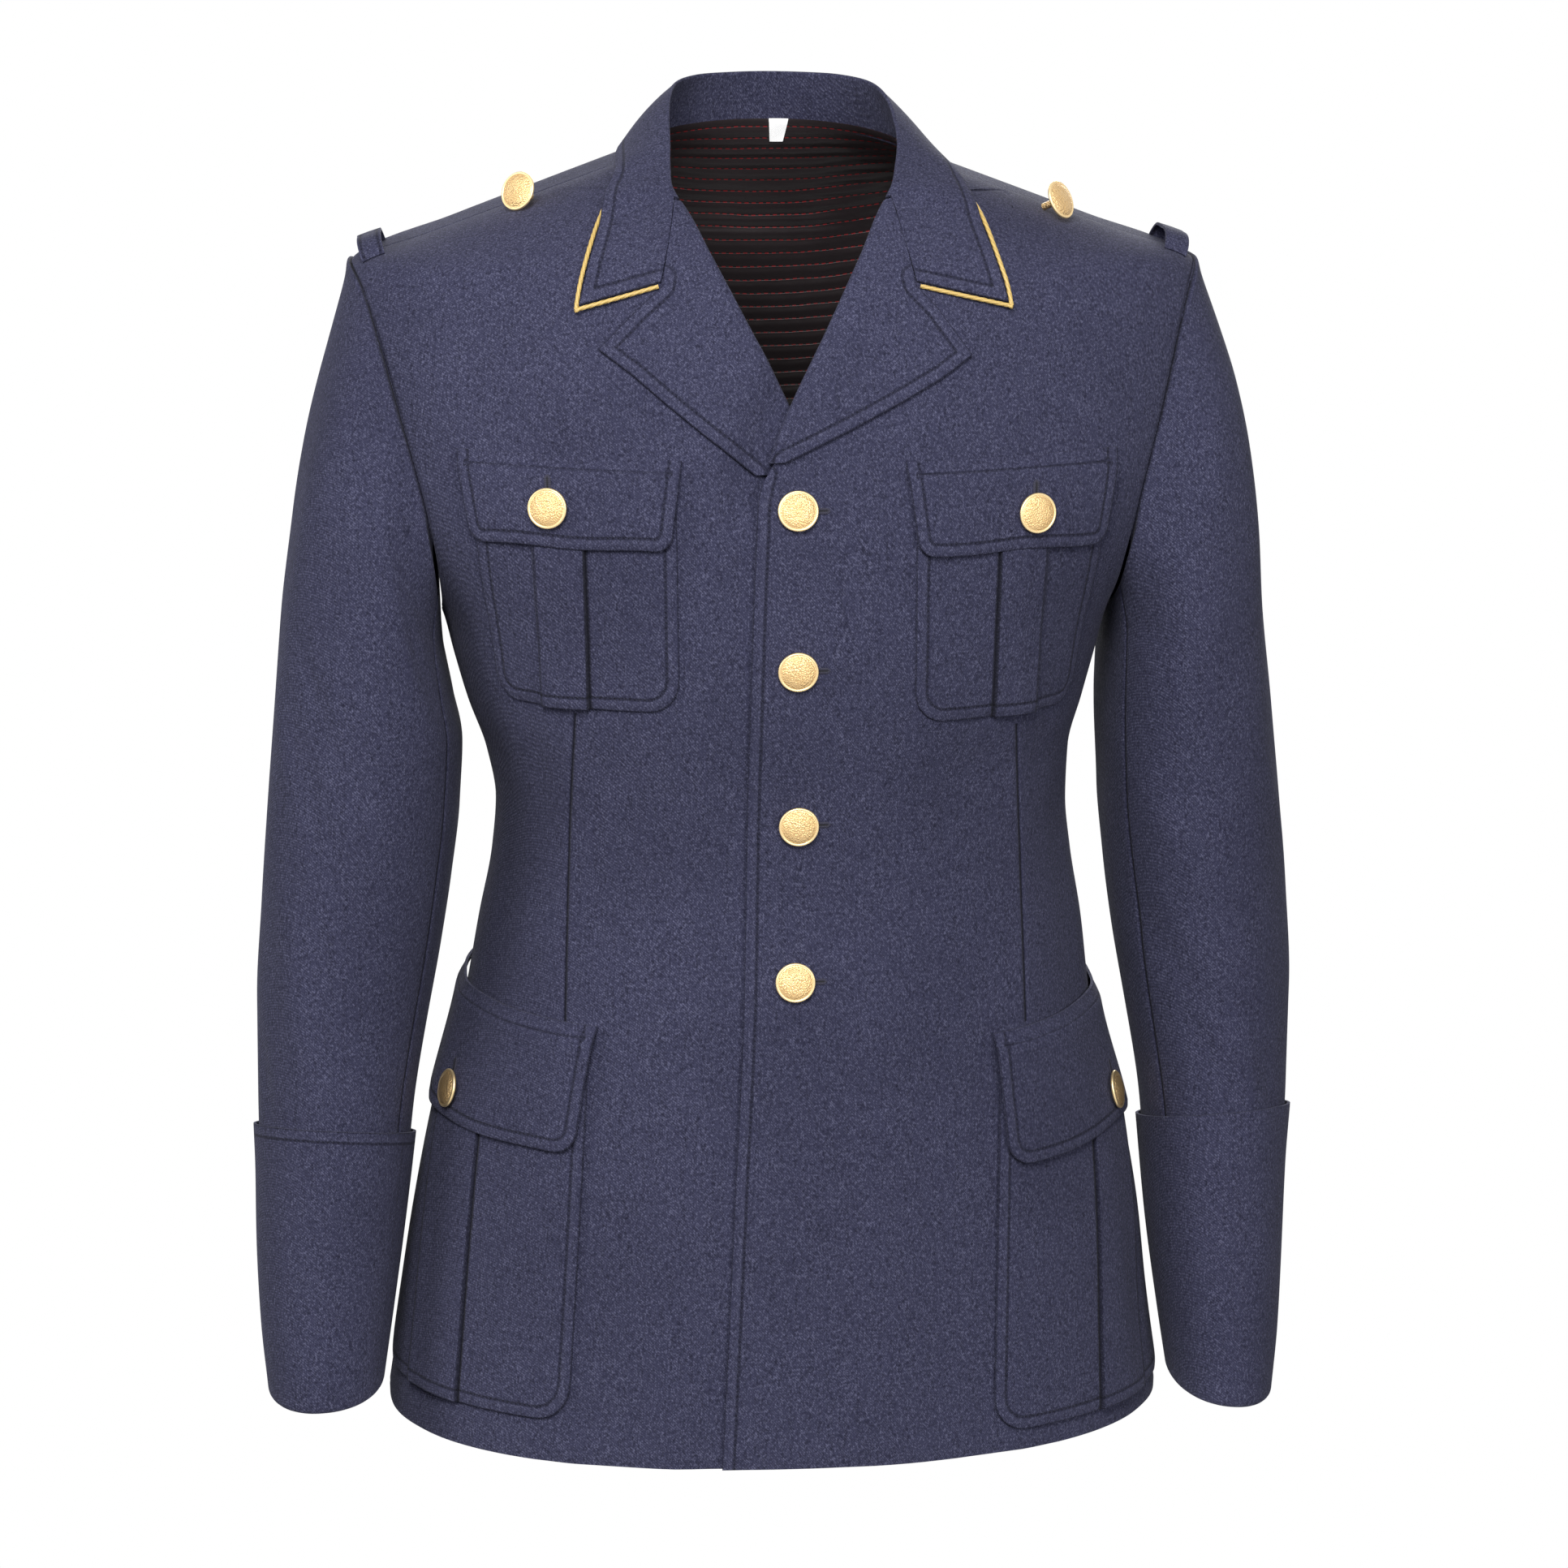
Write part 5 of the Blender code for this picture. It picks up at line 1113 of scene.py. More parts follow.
# Lining: black-brown satin inside the back, quilted to its padding by rows of red stitches
# that run across it every 8 mm. It hangs from the neck seam. Its colour is darkened with
# its depth below the neck, as it lies in shade there.
LINING_GAP = 0.0021
LINING_FACE = -CLOTH - LINING_GAP - LINING
ROW_PITCH = 0.0082
DEEPER = 7.5
SHADE_STARTS = 0.42
satin = Look("satin", (0.022, 0.017, 0.019), 0.42)
satin.shader.inputs["Specular IOR Level"].default_value = 0.28
across = satin.part(0)
down = satin.value("run") + satin.noise(26.0, 2.0) * 0.0030 + (across * 38.0).sin() * 0.0002
phase = down * (TURN / ROW_PITCH)
row_near = phase.sin() * -1.0
stitch_row = (row_near - 1.0).bell(0.045)
dash = (across * (TURN / 0.0042)).sin().above(-0.2)
weave = satin.noise(700.0, 2.0, (0.3, 1.0, 1.0))
tone = satin.tint(None, satin.noise(30.0, 3.0) * 0.7, (0.040, 0.030, 0.032))
# Painted shade: a near-black band darkens the quilting channel along each stitch row.
tone = satin.tint(tone, stitch_row * 0.55, (0.004, 0.003, 0.003))
tone = satin.tint(tone, stitch_row * dash, (0.30, 0.012, 0.016))
depth = satin.part(2) * -DEEPER - SHADE_STARTS
tone = satin.tint(tone, depth, (0.003, 0.002, 0.002))
puff = row_near * -0.5 + satin.noise(90.0, 2.0) * 0.9 + weave * 0.06 + stitch_row * dash * 0.3
SATIN = satin.finish(tone, None, puff - stitch_row * 0.9, 0.42, 0.0011)
picked = FINE_LEVELS[(FINE_LEVELS < -0.0079) & (FINE_LEVELS > HEM_LEVEL + 0.040)]
rows = []
for z in picked:
    half = back_angles(z)[len(BACK_FIXED) + BACK_OUTER_COLUMNS - 1:-2]
    right = fine(half, 10)
    rows.append(np.concatenate([360.0 - right[::-1], right[1:]]))
rows = np.array(rows)
levels = picked[:, None] + 0.0 * rows
puffed = 0.0003 * np.sin(levels * TURN / ROW_PITCH)
body_outer = skin(rows, levels, LINING_FACE + LINING)
body_inner = skin(rows, levels, LINING_FACE - puffed)
NECK_ANGLES = np.array([90.0, 104.0, 120.0, 140.0, 160.0, 180.0])
BAND_ROWS = [2.3, 1.8, 1.3, 0.8]
ROUND_NECK = np.concatenate([NECK_ANGLES, 360.0 - NECK_ANGLES[-2::-1]])
station = np.interp(rows[0], ROUND_NECK, np.arange(14.0, 3.0, -1.0))
station = station * ALONG
before = np.floor(station).astype(int)
part_on = (station - before)[:, None]
band = []
for column in BAND_ROWS:
    low = int(column)
    line = stand[:, low] + (stand[:, low + 1] - stand[:, low]) * (column - low)
    band.append(line[before] * (1 - part_on) + line[before + 1] * part_on)
band = np.array(band)
inward = -unit(band * np.array([1.0, 1.0, 0.0]))
lining_outer = np.concatenate([band + inward * (CLOTH / 2 + 0.0006), body_outer])
lining_inner = np.concatenate([band + inward * (CLOTH / 2 + 0.0006 + LINING), body_inner])
down_lining = along_rows(lining_inner, 0)
lining = wall("back_lining", lining_inner, lining_outer, SATIN, "back_lining", run=down_lining)

# Sleeves: two-piece wool sleeves, upper and under, set into the armholes with a soft rope
# of fullness at the head. Their seams run down behind and in front.
RING_STEP = 180.0 / ARMHOLE_STEPS
RING_ANGLES = np.arange(2 * ARMHOLE_STEPS) * RING_STEP
HOLE_CENTRE = np.array([0.235, 0.0, -0.150])


def sleeve_point(side, ring, angle, lift):
    """A point of a sleeve. The angle is 0 outside, 90 in front, 180 against the body."""
    ring, angle = np.broadcast_arrays(np.asarray(ring, float), np.asarray(angle, float))
    index = np.arange(len(SLEEVE))
    column = [smooth(ring, index, SLEEVE[:, k]) for k in range(6)]
    turn = np.radians(angle)
    cosine = np.cos(turn)
    sine = np.sin(turn)
    swell = (np.abs(cosine) ** 2.2 + np.abs(sine) ** 2.2) ** (-1 / 2.2)
    shift = 3 if side == LEFT else 1
    outside = column[0] + smooth(ring, SLEEVE_HANG[:, 0], SLEEVE_HANG[:, shift])
    inside = column[2] + smooth(ring, SLEEVE_HANG[:, 0], SLEEVE_HANG[:, shift + 1])
    x = (outside + inside) / 2 + (outside - inside) / 2 * cosine * swell
    z = (column[1] + column[3]) / 2 + (column[1] - column[3]) / 2 * cosine * swell
    z = z + SLEEVE_END_RISE[side] * ease((ring - CUFF_TOP) / (SLEEVE_END - CUFF_TOP))
    y = column[5] - column[4] * sine * swell
    tube_point = np.stack([x, y, z], -1)
    rim, body_normal = armhole_ring(side, angle)
    inwards = HOLE_CENTRE - rim
    inwards = inwards - body_normal * np.sum(inwards * body_normal, axis=-1, keepdims=True)
    under_arm = ease((-cosine - 0.25) / 0.6)[..., None]
    seam = rim + (unit(inwards) * (1 - under_arm) + body_normal * under_arm) * (SEAM + 0.0002)
    share = ease(ring / 2.2)[..., None]
    rope = 0.0022 * np.exp(-((ring - 0.45) / 0.5) ** 2) * ease((cosine + 0.2) / 0.8)
    point = seam * (1 - share) + (tube_point + (seam - sleeve_base(angle)) * (1 - share)) * share
    height = np.asarray(lift, float) + np.zeros(ring.shape)
    for fold_side, at, where, length, width, tall, lean in SLEEVE_FOLDS:
        if fold_side != side:
            continue
        away = (angle - where - lean * (ring - at) + 180.0) % 360.0 - 180.0
        height = height + tall * np.exp(-(away / width) ** 2 - ((ring - at) / length) ** 2)
    return point, height + rope * (ring > 0)


def armhole_ring(side, angle):
    """The armhole seam of the body and the body's normal there, as if on the left side."""
    turn = np.radians(angle)
    middle = (SHOULDER_LEVEL + ARMPIT_LEVEL) / 2
    level = middle + (SHOULDER_LEVEL - ARMPIT_LEVEL) / 2 * np.cos(turn)
    at = np.where(np.sin(turn) >= 0, armhole_angle(level, 1), armhole_angle(level, -1))
    flip = np.array([side, 1.0, 1.0])
    return skin(side * at, level, 0.0) * flip, normal_at(side * at, level) * flip


def sleeve_base(angle):
    turn = np.radians(angle)
    first = SLEEVE[0]
    cosine = np.cos(turn)
    sine = np.sin(turn)
    swell = (np.abs(cosine) ** 2.2 + np.abs(sine) ** 2.2) ** (-1 / 2.2)
    x = (first[0] + first[2]) / 2 + (first[0] - first[2]) / 2 * cosine * swell
    z = (first[1] + first[3]) / 2 + (first[1] - first[3]) / 2 * cosine * swell
    y = first[5] - first[4] * sine * swell
    return np.stack([x, y, z], -1)


def sleeve(side, ring, angle, lift):
    point, height = sleeve_point(side, ring, angle, lift)
    around = sleeve_point(side, ring, np.add(angle, 1.0), 0.0)[0]
    around = around - sleeve_point(side, ring, np.add(angle, -1.0), 0.0)[0]
    ahead = np.minimum(np.add(ring, 0.05), SLEEVE_END)
    behind = np.maximum(np.add(ring, -0.05), 0.0)
    down = sleeve_point(side, ahead, angle, 0.0)[0] - sleeve_point(side, behind, angle, 0.0)[0]
    out = unit(np.cross(around, down))
    share = np.asarray(ring, float) / 1.2 + ease((-np.cos(np.radians(angle)) - 0.25) / 0.6)
    share = ease(share)[..., None]
    body_normal = armhole_ring(side, np.asarray(angle, float) + 0.0 * np.asarray(ring))[1]
    out = unit(out * share + body_normal * (1 - share))
    point = point + out * height[..., None]
    return point * np.array([side, 1.0, 1.0])


SLEEVE_RINGS = np.concatenate([
    np.linspace(0.0, 0.5, 9)[:-1],
    np.linspace(0.5, 3.0, 26)[:-1],
    np.linspace(3.0, 14.0, 122),
])


def sleeve_part(name, side, start, end):
    count = int((end - start) / 2.4)
    ends = 3.0 * (1 - EDGE_STEPS)
    inside = np.linspace(start + 3.0, end - 3.0, count)
    angles = np.concatenate([start + ends[::-1][:-1], inside, (end - ends)[1:]])
    rings, turns = np.meshgrid(SLEEVE_RINGS, angles, indexing="ij")
    plain = sleeve(side, rings, turns, 0.0)
    length = along_rows(plain, 1)
    near_seam = np.minimum(length, length[:, -1:] - length)
    dip = SEAM_DIP * np.exp(-(near_seam / SEAM_HALF_WIDTH) ** 2)
    down = along_rows(plain, 0)
    dip = dip + 0.0010 * np.exp(-(down / SEAM_HALF_WIDTH) ** 2)
    outer = sleeve(side, rings, turns, -dip)
    inner = sleeve(side, rings, turns, -CLOTH)
    # line places painted shade lines along the sleeve seams and round the armhole.
    line = np.minimum(near_seam, down)
    return wall(name, outer, inner, WOOL, name, line=line)


# Cuffs: deep turned-back cuffs of the same wool lie over the sleeve ends. The top edge is
# topstitched and the lower edge is folded up inside.
CUFF_PROFILE = [
    # ring, height over the sleeve's outer face
    (CUFF_TOP, 0.0023),
    (11.2, 0.0018),
    (12.5, 0.0015),
    (SLEEVE_END, 0.0015),
]
CUFF_TURN_UP = 0.35
CUFF_TILT = 0.016


def tilted(side, ring, angle):
    """The cuff's rows are square to the forearm: higher in front, lower behind."""
    whole = sleeve(side, CUFF_TOP, RING_ANGLES, 0.0)
    here = sleeve(side, CUFF_TOP, angle, 0.0)
    step = np.linalg.norm(sleeve(side, CUFF_TOP + 1.0, angle, 0.0) - here, axis=-1)
    middle = (whole[:, 1].max() + whole[:, 1].min()) / 2
    front = (middle - here[..., 1]) / (whole[:, 1].max() - middle)
    return ring - CUFF_TILT * front / step * (SLEEVE_END - ring) / (SLEEVE_END - CUFF_TOP)


AROUND_CUFF = np.arange(0.0, 360.0, 2.5)


def cuff(name, side):
    rings = np.linspace(CUFF_TOP, SLEEVE_END, 44)
    profile = np.array(CUFF_PROFILE, float)
    heights = smooth(rings, profile[:, 0], profile[:, 1])
    grid = [
        sleeve(side, tilted(side, ring, AROUND_CUFF), AROUND_CUFF, height)
        for ring, height in zip(rings, heights)
    ]
    last_out = grid[-1]
    last_in = sleeve(side, SLEEVE_END, AROUND_CUFF, -CLOTH - CUFF_PROFILE[-1][1])
    before = sleeve(side, SLEEVE_END - 0.2, AROUND_CUFF, -CLOTH / 2)
    ending = sleeve(side, SLEEVE_END, AROUND_CUFF, -CLOTH / 2)
    ahead = unit(ending - before)
    half = np.linalg.norm(last_out - last_in, axis=-1, keepdims=True) / 2
    middle = (last_out + last_in) / 2
    outward = unit(last_out - last_in)
    for turn in np.radians(np.linspace(20.0, 160.0, 8)):
        grid.append(middle + half * (outward * np.cos(turn) + ahead * np.sin(turn)))
    grid.append(last_in)
    for back_by in np.linspace(0.0, CUFF_TURN_UP, 5)[1:]:
        grid.append(sleeve(side, SLEEVE_END - back_by, AROUND_CUFF, -CLOTH - CUFF_PROFILE[-1][1]))
    grid = np.array(grid)
    lift = grid_normals(grid, True) * (CLOTH / 2)
    rim = along_rows(grid, 0)
    run = along_rows(grid, 1)
    line = np.full(grid.shape[:2], FAR)
    # line places a painted shade line along the cuff's seam.
    seam = np.abs((AROUND_CUFF - UPPER_TO + 180.0) % 360.0 - 180.0)
    line[:44] = seam[None, :] * 0.0011
    return wall(name, grid + lift, grid - lift, WOOL, name, ring=True, rim=rim, run=run, line=line)


for side, word in ((LEFT, "left"), (RIGHT, "right")):
    sleeve_part(f"sleeve_upper_{word}", side, UPPER_FROM, UPPER_TO)
    sleeve_part(f"sleeve_under_{word}", side, UPPER_TO, 360.0 + UPPER_FROM)
    cuff(f"cuff_{word}", side)

# Patch pockets: four pockets of wool with a box pleat down the middle and round lower
# corners, topstitched to the fronts. Places run along the cloth from the centre front.
ARC_LEVELS = np.linspace(-0.12, -0.72, 121)
ARC_ANGLES = np.linspace(0.0, 120.0, 241)
ARCS = {}
for side in (LEFT, RIGHT):
    points = bare(side * ARC_ANGLES[None, :], ARC_LEVELS[:, None])
    ARCS[side] = along_rows(points, 1)


def arcs_at(side, level):
    place = np.clip((ARC_LEVELS[0] - level) / (ARC_LEVELS[0] - ARC_LEVELS[1]), 0, len(ARC_LEVELS) - 1.001)
    k = int(place)
    return ARCS[side][k] + (ARCS[side][k + 1] - ARCS[side][k]) * (place - k)


def arc_of_x(side, x, level):
    angles = angle_of(x, level)
    places = zip(angles.ravel(), level.ravel())
    arcs = [np.interp(a, ARC_ANGLES, arcs_at(side, z)) for a, z in places]
    return np.array(arcs).reshape(level.shape)


def on_cloth(side, arc, level, lift):
    pairs = zip(arc.ravel(), level.ravel())
    at = np.array([np.interp(a, arcs_at(side, z), ARC_ANGLES) for a, z in pairs]).reshape(arc.shape) * side
    sink = sunk(bare(at, level)[..., 0], level) if side == RIGHT else 0.0
    return skin(at, level, lift - sink)


POCKETS = [
    # name, side, top level, bottom level, inner x at top and bottom, width, radius,
    # pleat centre from the inner edge, pleat width
    ("chest_pocket_left", LEFT, -0.170, -0.2950, 0.0665, 0.0665, 0.112, 0.017, 0.061, 0.028),
    ("chest_pocket_right", RIGHT, -0.166, -0.2870, 0.0626, 0.0610, 0.112, 0.017, 0.064, 0.028),
    ("lower_pocket_left", LEFT, -0.488, -0.7000, 0.1165, 0.1130, 0.170, 0.020, 0.0963, 0.046),
    ("lower_pocket_right", RIGHT, -0.484, -0.6880, 0.1110, 0.1245, 0.168, 0.020, 0.0943, 0.046),
]
POCKET_GAP = 0.0009
HIP_GAP = 0.0016
PLEAT_RAISE = 0.0025


def rounded(u, half, radius):
    """How much shorter the patch is at u, because of its round lower corners."""
    past = np.clip(np.abs(u) - (half - radius), 0.0, radius)
    return radius - np.sqrt(np.maximum(radius ** 2 - past ** 2, 0.0))


def pocket(name, side, top, bottom, x_top, x_bottom, width, radius, pleat_at, pleat):
    half = width / 2
    gap = HIP_GAP if top < -0.4 else POCKET_GAP
    centre = pleat_at - half
    strong = centre - pleat / 2
    weak = centre + pleat / 2
    close = np.array([-0.0012, -0.0006, -0.0003, 0.0, 0.0003, 0.0006, 0.0012])
    corner = half - radius * (1 - np.cos(np.linspace(0.0, np.pi / 2, 9)))
    even = np.linspace(-half, half, int(width / 0.0026))
    us = np.concatenate([even, strong + close, weak + close, corner, -corner])
    us = np.unique(np.round(us, 6))
    raised = ease((us - strong) / 0.0006) * ease((weak + 0.0022 - us) / 0.0022)
    crown = 0.0005 * np.exp(-((us - centre) / (pleat * 0.3)) ** 2)
    rows = np.linspace(0.0, 1.0, int(abs(top - bottom) / 0.0026))
    u, t = np.meshgrid(us, rows)
    drop = rounded(u, half, radius)
    level = top + (bottom + drop - top) * t
    share = (level - top) / (bottom - top)
    arc = arc_of_x(side, x_top + (x_bottom - x_top) * share, level) + half + u
    high = gap + THIN + PLEAT_RAISE * raised * (0.75 + 0.25 * t) + crown
    outer = on_cloth(side, arc, level, high)
    inner = on_cloth(side, arc, level, gap + 0.0 * u)
    edge = np.concatenate([outer[:, 0], outer[-1, 1:-1], outer[::-1, -1]])
    rim, run = from_edge(outer, edge)
    soft = 0.0005 * np.exp(-(rim / 0.0009) ** 2)
    outer = on_cloth(side, arc, level, high - soft)
    # line places the pleat's painted shade: a dark line at its strong fold and, held off by soft_line, a
    # fainter one at its weak fold.
    from_strong = u - strong + 0.0003
    from_weak = (u - weak) * 1.2
    soft_line = np.maximum(np.abs(from_weak), 0.0007)
    line = np.where(np.abs(from_strong) < np.abs(from_weak), from_strong, soft_line)
    return wall(name, outer, inner, WOOL, name, rim=rim, run=run, line=line)


pockets = [pocket(*row) for row in POCKETS]

# Pocket flaps: shaped wool flaps hang over the pocket mouths. Their sides and lower edge
# are topstitched, with a second line under the top seam.
FLAPS = [
    # name, side, top level inner, top level outer, depth, inner x top, inner x bottom,
    # width at top, width at bottom, radius, clearance over what it covers
    ("chest_flap_left", LEFT, -0.1530, -0.1500, 0.0500, 0.0610, 0.0660, 0.124, 0.113, 0.010, 0.0034),
    ("chest_flap_right", RIGHT, -0.1510, -0.1470, 0.0480, 0.0590, 0.0640, 0.124, 0.113, 0.010, 0.0034),
    ("lower_flap_left", LEFT, -0.4750, -0.4660, 0.0750, 0.1120, 0.1180, 0.186, 0.178, 0.016, 0.0046),
    ("lower_flap_right", RIGHT, -0.4660, -0.4600, 0.0720, 0.1060, 0.1160, 0.186, 0.178, 0.016, 0.0046),
]
FLAP_CLOTH = 0.0016
FLAP_SEAT = 0.012


TOP_LINE = 0.0075


def flap_point(flap, u, share, lift):
    """A point over a flap: u from -1 to 1 across it, share from its top to its bottom."""
    name, side, top_in, top_out, deep, x_top, x_bottom, wide_top, wide_bottom, radius, clear = flap
    width = wide_top + (wide_bottom - wide_top) * share
    top = top_in + (top_out - top_in) * (u + 1) / 2
    half = wide_bottom / 2
    drop = rounded(u * half, half, radius)
    wave = 0.0006 * np.sin(u * 5.0 + side) * share
    level = top - (deep - drop) * share + wave
    start = arc_of_x(side, x_top + (x_bottom - x_top) * share, level)
    gap = HIP_GAP if top_in < -0.4 else POCKET_GAP
    rise = gap + (clear - gap) * ease((top - level) / FLAP_SEAT) + 0.0006 * share
    rise = rise + 0.0006 * np.sin(u * 4.0 - 0.6 * side) * share ** 2
    return on_cloth(side, start + width / 2 * (1 + u), level, rise + lift)


def flap(row):
    half = row[8] / 2
    corner = 1 - row[9] / half * (1 - np.cos(np.linspace(0.0, np.pi / 2, 9)))
    us = np.unique(np.round(np.concatenate([np.linspace(-1, 1, int(half / 0.0013)), corner, -corner]), 5))
    u, share = np.meshgrid(us, np.linspace(0.0, 1.0, 30))
    outer = flap_point(row, u, share, FLAP_CLOTH)
    inner = flap_point(row, u, share, 0.0)
    edge = np.concatenate([outer[:, 0], outer[-1, 1:-1], outer[::-1, -1]])
    rim, run = from_edge(outer, edge)
    soft = 0.0006 * np.exp(-(rim / 0.0009) ** 2)
    outer = flap_point(row, u, share, FLAP_CLOTH - soft)
    from_top = along_rows(outer, 0)
    second = STITCH_IN + np.abs(from_top - TOP_LINE)
    closer = np.abs(second - STITCH_IN) < np.abs(rim - STITCH_IN)
    rim = np.where(closer & (rim > STITCH_IN * 0.6), second, rim)
    return wall(row[0], outer, inner, WOOL, row[0], rim=rim, run=run)


flaps = [flap(row) for row in FLAPS]

# Buttons: gilt domed buttons of 22 mm with a fine pebbled crown and a rolled rim. The
# flat ones lie on the cloth; the shoulder ones stand on their shanks.
gilt = Look("gilt", (0.90, 0.66, 0.35), 0.42, 0.75)
pebble = gilt.cells(1100.0)
wear = gilt.noise(160.0, 3.0)
on_rim = gilt.value("rim")
tone = gilt.tint(None, wear * 0.4 + pebble * 0.5, (0.62, 0.36, 0.12))
tone = gilt.tint(tone, on_rim * 0.6, (1.0, 0.80, 0.45))
grain = (pebble * -1.0) * (on_rim * -1.0 + 1.0)
GOLD = gilt.finish(tone, wear * 0.25 + 0.24, grain, 0.7, 0.0006)
DOME = [
    # share of the radius, height over the seat
    (0.25, 0.0000), (0.25, 0.0012), (0.30, 0.0015), (0.90, 0.0014), (0.97, 0.0017), (1.00, 0.0023),
    (0.99, 0.0029), (0.955, 0.0033), (0.915, 0.0034), (0.885, 0.0032), (0.87, 0.0031), (0.83, 0.0035),
    (0.74, 0.0040), (0.62, 0.0045), (0.48, 0.0048), (0.33, 0.0050), (0.18, 0.0051), (0.07, 0.0052),
]
BUTTON_TURN = 48
BUTTON_SEAT = 0.0006
FRONT_BUTTONS = [
    # x, level, height of the foot over the true surface
    (0.0024, -0.1775, 0.0003),
    (0.0024, -0.2640, 0.0000),
    (0.0036, -0.3515, 0.0009),
    (0.0016, -0.4390, 0.0006),
]


FLAP_BUTTONS = [
    # name, flap row, place across, share of the depth, height of the foot
    ("button_chest_left", 0, 0.16, 0.62, BUTTON_SEAT),
    ("button_chest_right", 1, 0.16, 0.58, BUTTON_SEAT),
    ("button_lower_left", 2, 0.10, 0.78, 0.0),
    ("button_lower_right", 3, 0.10, 0.78, 0.0002),
]
SHANK_RADIUS = 0.0020
SHANK_LENGTH = 0.0095
SHANK_SEAT = 0.0019
SHOULDER_BUTTONS = [
    # name, angle, level, axis
    ("button_shoulder_left", 77.3, -0.0268, (0.710, -0.587, 0.365)),
    ("button_shoulder_right", -80.7, -0.0205, (-0.645, -0.770, 0.350)),
]


def button(name, base, axis, shank=0.0):
    axis = unit(np.asarray(axis, float))
    u = unit(np.cross([0.0, 0.0, 1.0], axis))
    v = np.cross(axis, u)
    profile = [(share * BUTTON_RADIUS, height + shank) for share, height in DOME]
    if shank:
        profile = [(SHANK_RADIUS, 0.0), (SHANK_RADIUS, shank + 0.0014)] + profile[2:]
    turns = np.arange(BUTTON_TURN) * 2 * np.pi / BUTTON_TURN
    around = u * np.cos(turns)[:, None] + v * np.sin(turns)[:, None]
    rings = np.array([base + axis * height + around * radius for radius, height in profile])
    points = np.concatenate([rings.reshape(-1, 3), [base, base + axis * (DOME[-1][1] + shank + 0.0001)]])
    k = np.arange(BUTTON_TURN)
    n = (k + 1) % BUTTON_TURN
    faces = []
    for r in range(len(profile) - 1):
        low = r * BUTTON_TURN
        high = low + BUTTON_TURN
        faces += np.stack([low + k, low + n, high + n, high + k], -1).tolist()
    foot = len(points) - 2
    last = (len(profile) - 1) * BUTTON_TURN
    faces += np.stack([foot + 0 * k, n, k], -1).tolist()
    faces += np.stack([foot + 1 + 0 * k, last + k, last + n], -1).tolist()
    on_edge = [1.0 if radius > 0.86 * BUTTON_RADIUS else 0.0 for radius, _ in profile]
    values = np.concatenate([np.repeat(on_edge, BUTTON_TURN), [0.0, 0.0]])
    return shape(name, points, faces, GOLD, [name], {"rim": values}, sharp=50.0)


buttons = []
for number, (x, level, foot) in enumerate(FRONT_BUTTONS, 1):
    angle = angle_of(x, level)
    base = skin(angle, level, foot)
    buttons.append(button(f"button_front_{number}", base, skin(angle, level, 0.01) - base))
for name, row, across, share, foot in FLAP_BUTTONS:
    place = (FLAPS[row], np.array([[across]]), np.array([[share]]))
    base = flap_point(*place, FLAP_CLOTH + foot)[0, 0]
    tip = flap_point(*place, FLAP_CLOTH + 0.02)[0, 0]
    buttons.append(button(name, base, tip - base))
for name, angle, level, axis in SHOULDER_BUTTONS:
    buttons.append(button(name, skin(angle, level, SHANK_SEAT), axis, SHANK_LENGTH))

# Buttonholes: worked in wool-coloured thread, with a slit between two rows of close
# stitches; the slit is painted near black as shade. They lie across the left front and
# upright on the flaps.
thread_look = Look("thread", (0.040, 0.039, 0.066), 0.8)
slit = thread_look.value("line")
wraps = (thread_look.value("run") * (TURN / 0.0007)).sin()
tone = thread_look.tint(None, wraps * 0.5, (0.075, 0.073, 0.118))
# Painted shade: the slit is darkened to near black.
tone = thread_look.tint(tone, slit.bell(0.0005), (0.004, 0.004, 0.006))
THREAD = thread_look.finish(tone, None, wraps * 0.5 - slit.bell(0.0006) * 3.0, 0.6, 0.0005)
HOLE_HALF = 0.0017


def buttonhole(name, node, place, start, end):
    """place(along, across, lift) gives points; the hole runs from start to end."""
    along = np.concatenate([[start], np.linspace(start + 0.0004, end - 0.0004, 30), [end]])
    across = np.linspace(-1.0, 1.0, 11)
    a, c = np.meshgrid(along, across, indexing="ij")
    inset = np.minimum(a - start, end - a)
    width = HOLE_HALF * np.sqrt(np.clip(inset / HOLE_HALF, 0.02, 1.0))
    rise = 0.0004 + 0.0005 * np.sqrt(np.clip(1 - c ** 2, 0.0, 1.0)) * np.clip(inset / HOLE_HALF, 0, 1)
    outer = place(a, c * width, rise)
    inner = place(a, c * width, np.full(a.shape, 0.0002))
    line = np.abs(c * width) + np.maximum(0.0015 - inset, 0.0)
    return wall(name, outer, inner, THREAD, node, run=a, line=line)


def on_front(button_x, button_level):
    def place(along, across, lift):
        level = button_level + across
        return skin(angle_of(button_x + along, level), level, lift)
    return place


def on_flap(row, across_at, share_at):
    deep = FLAPS[row][4]
    half = FLAPS[row][8] / 2

    def place(along, across, lift):
        return flap_point(FLAPS[row], across_at + across / half, share_at - along / deep, FLAP_CLOTH + lift)
    return place


holes = []
for number, (x, level, foot) in enumerate(FRONT_BUTTONS, 1):
    holes.append(buttonhole(f"buttonhole_front_{number}", "front_left", on_front(x, level), -0.004, 0.0175))
for name, row, across, share, foot in FLAP_BUTTONS:
    flap_node = FLAPS[row][0]
    holes.append(buttonhole(f"hole_{name}", flap_node, on_flap(row, across, share), -0.003, 0.0175))

# Shoulder loops: short straps of doubled wool arch over the shoulder ends, for shoulder
# boards. Both ends are sewn down.
LOOP_WIDTH = 0.012
LOOP_HALF = 0.027
LOOP_RISE = 0.0085
LOOP_X = 0.222
LOOP_SEAT = 0.0006


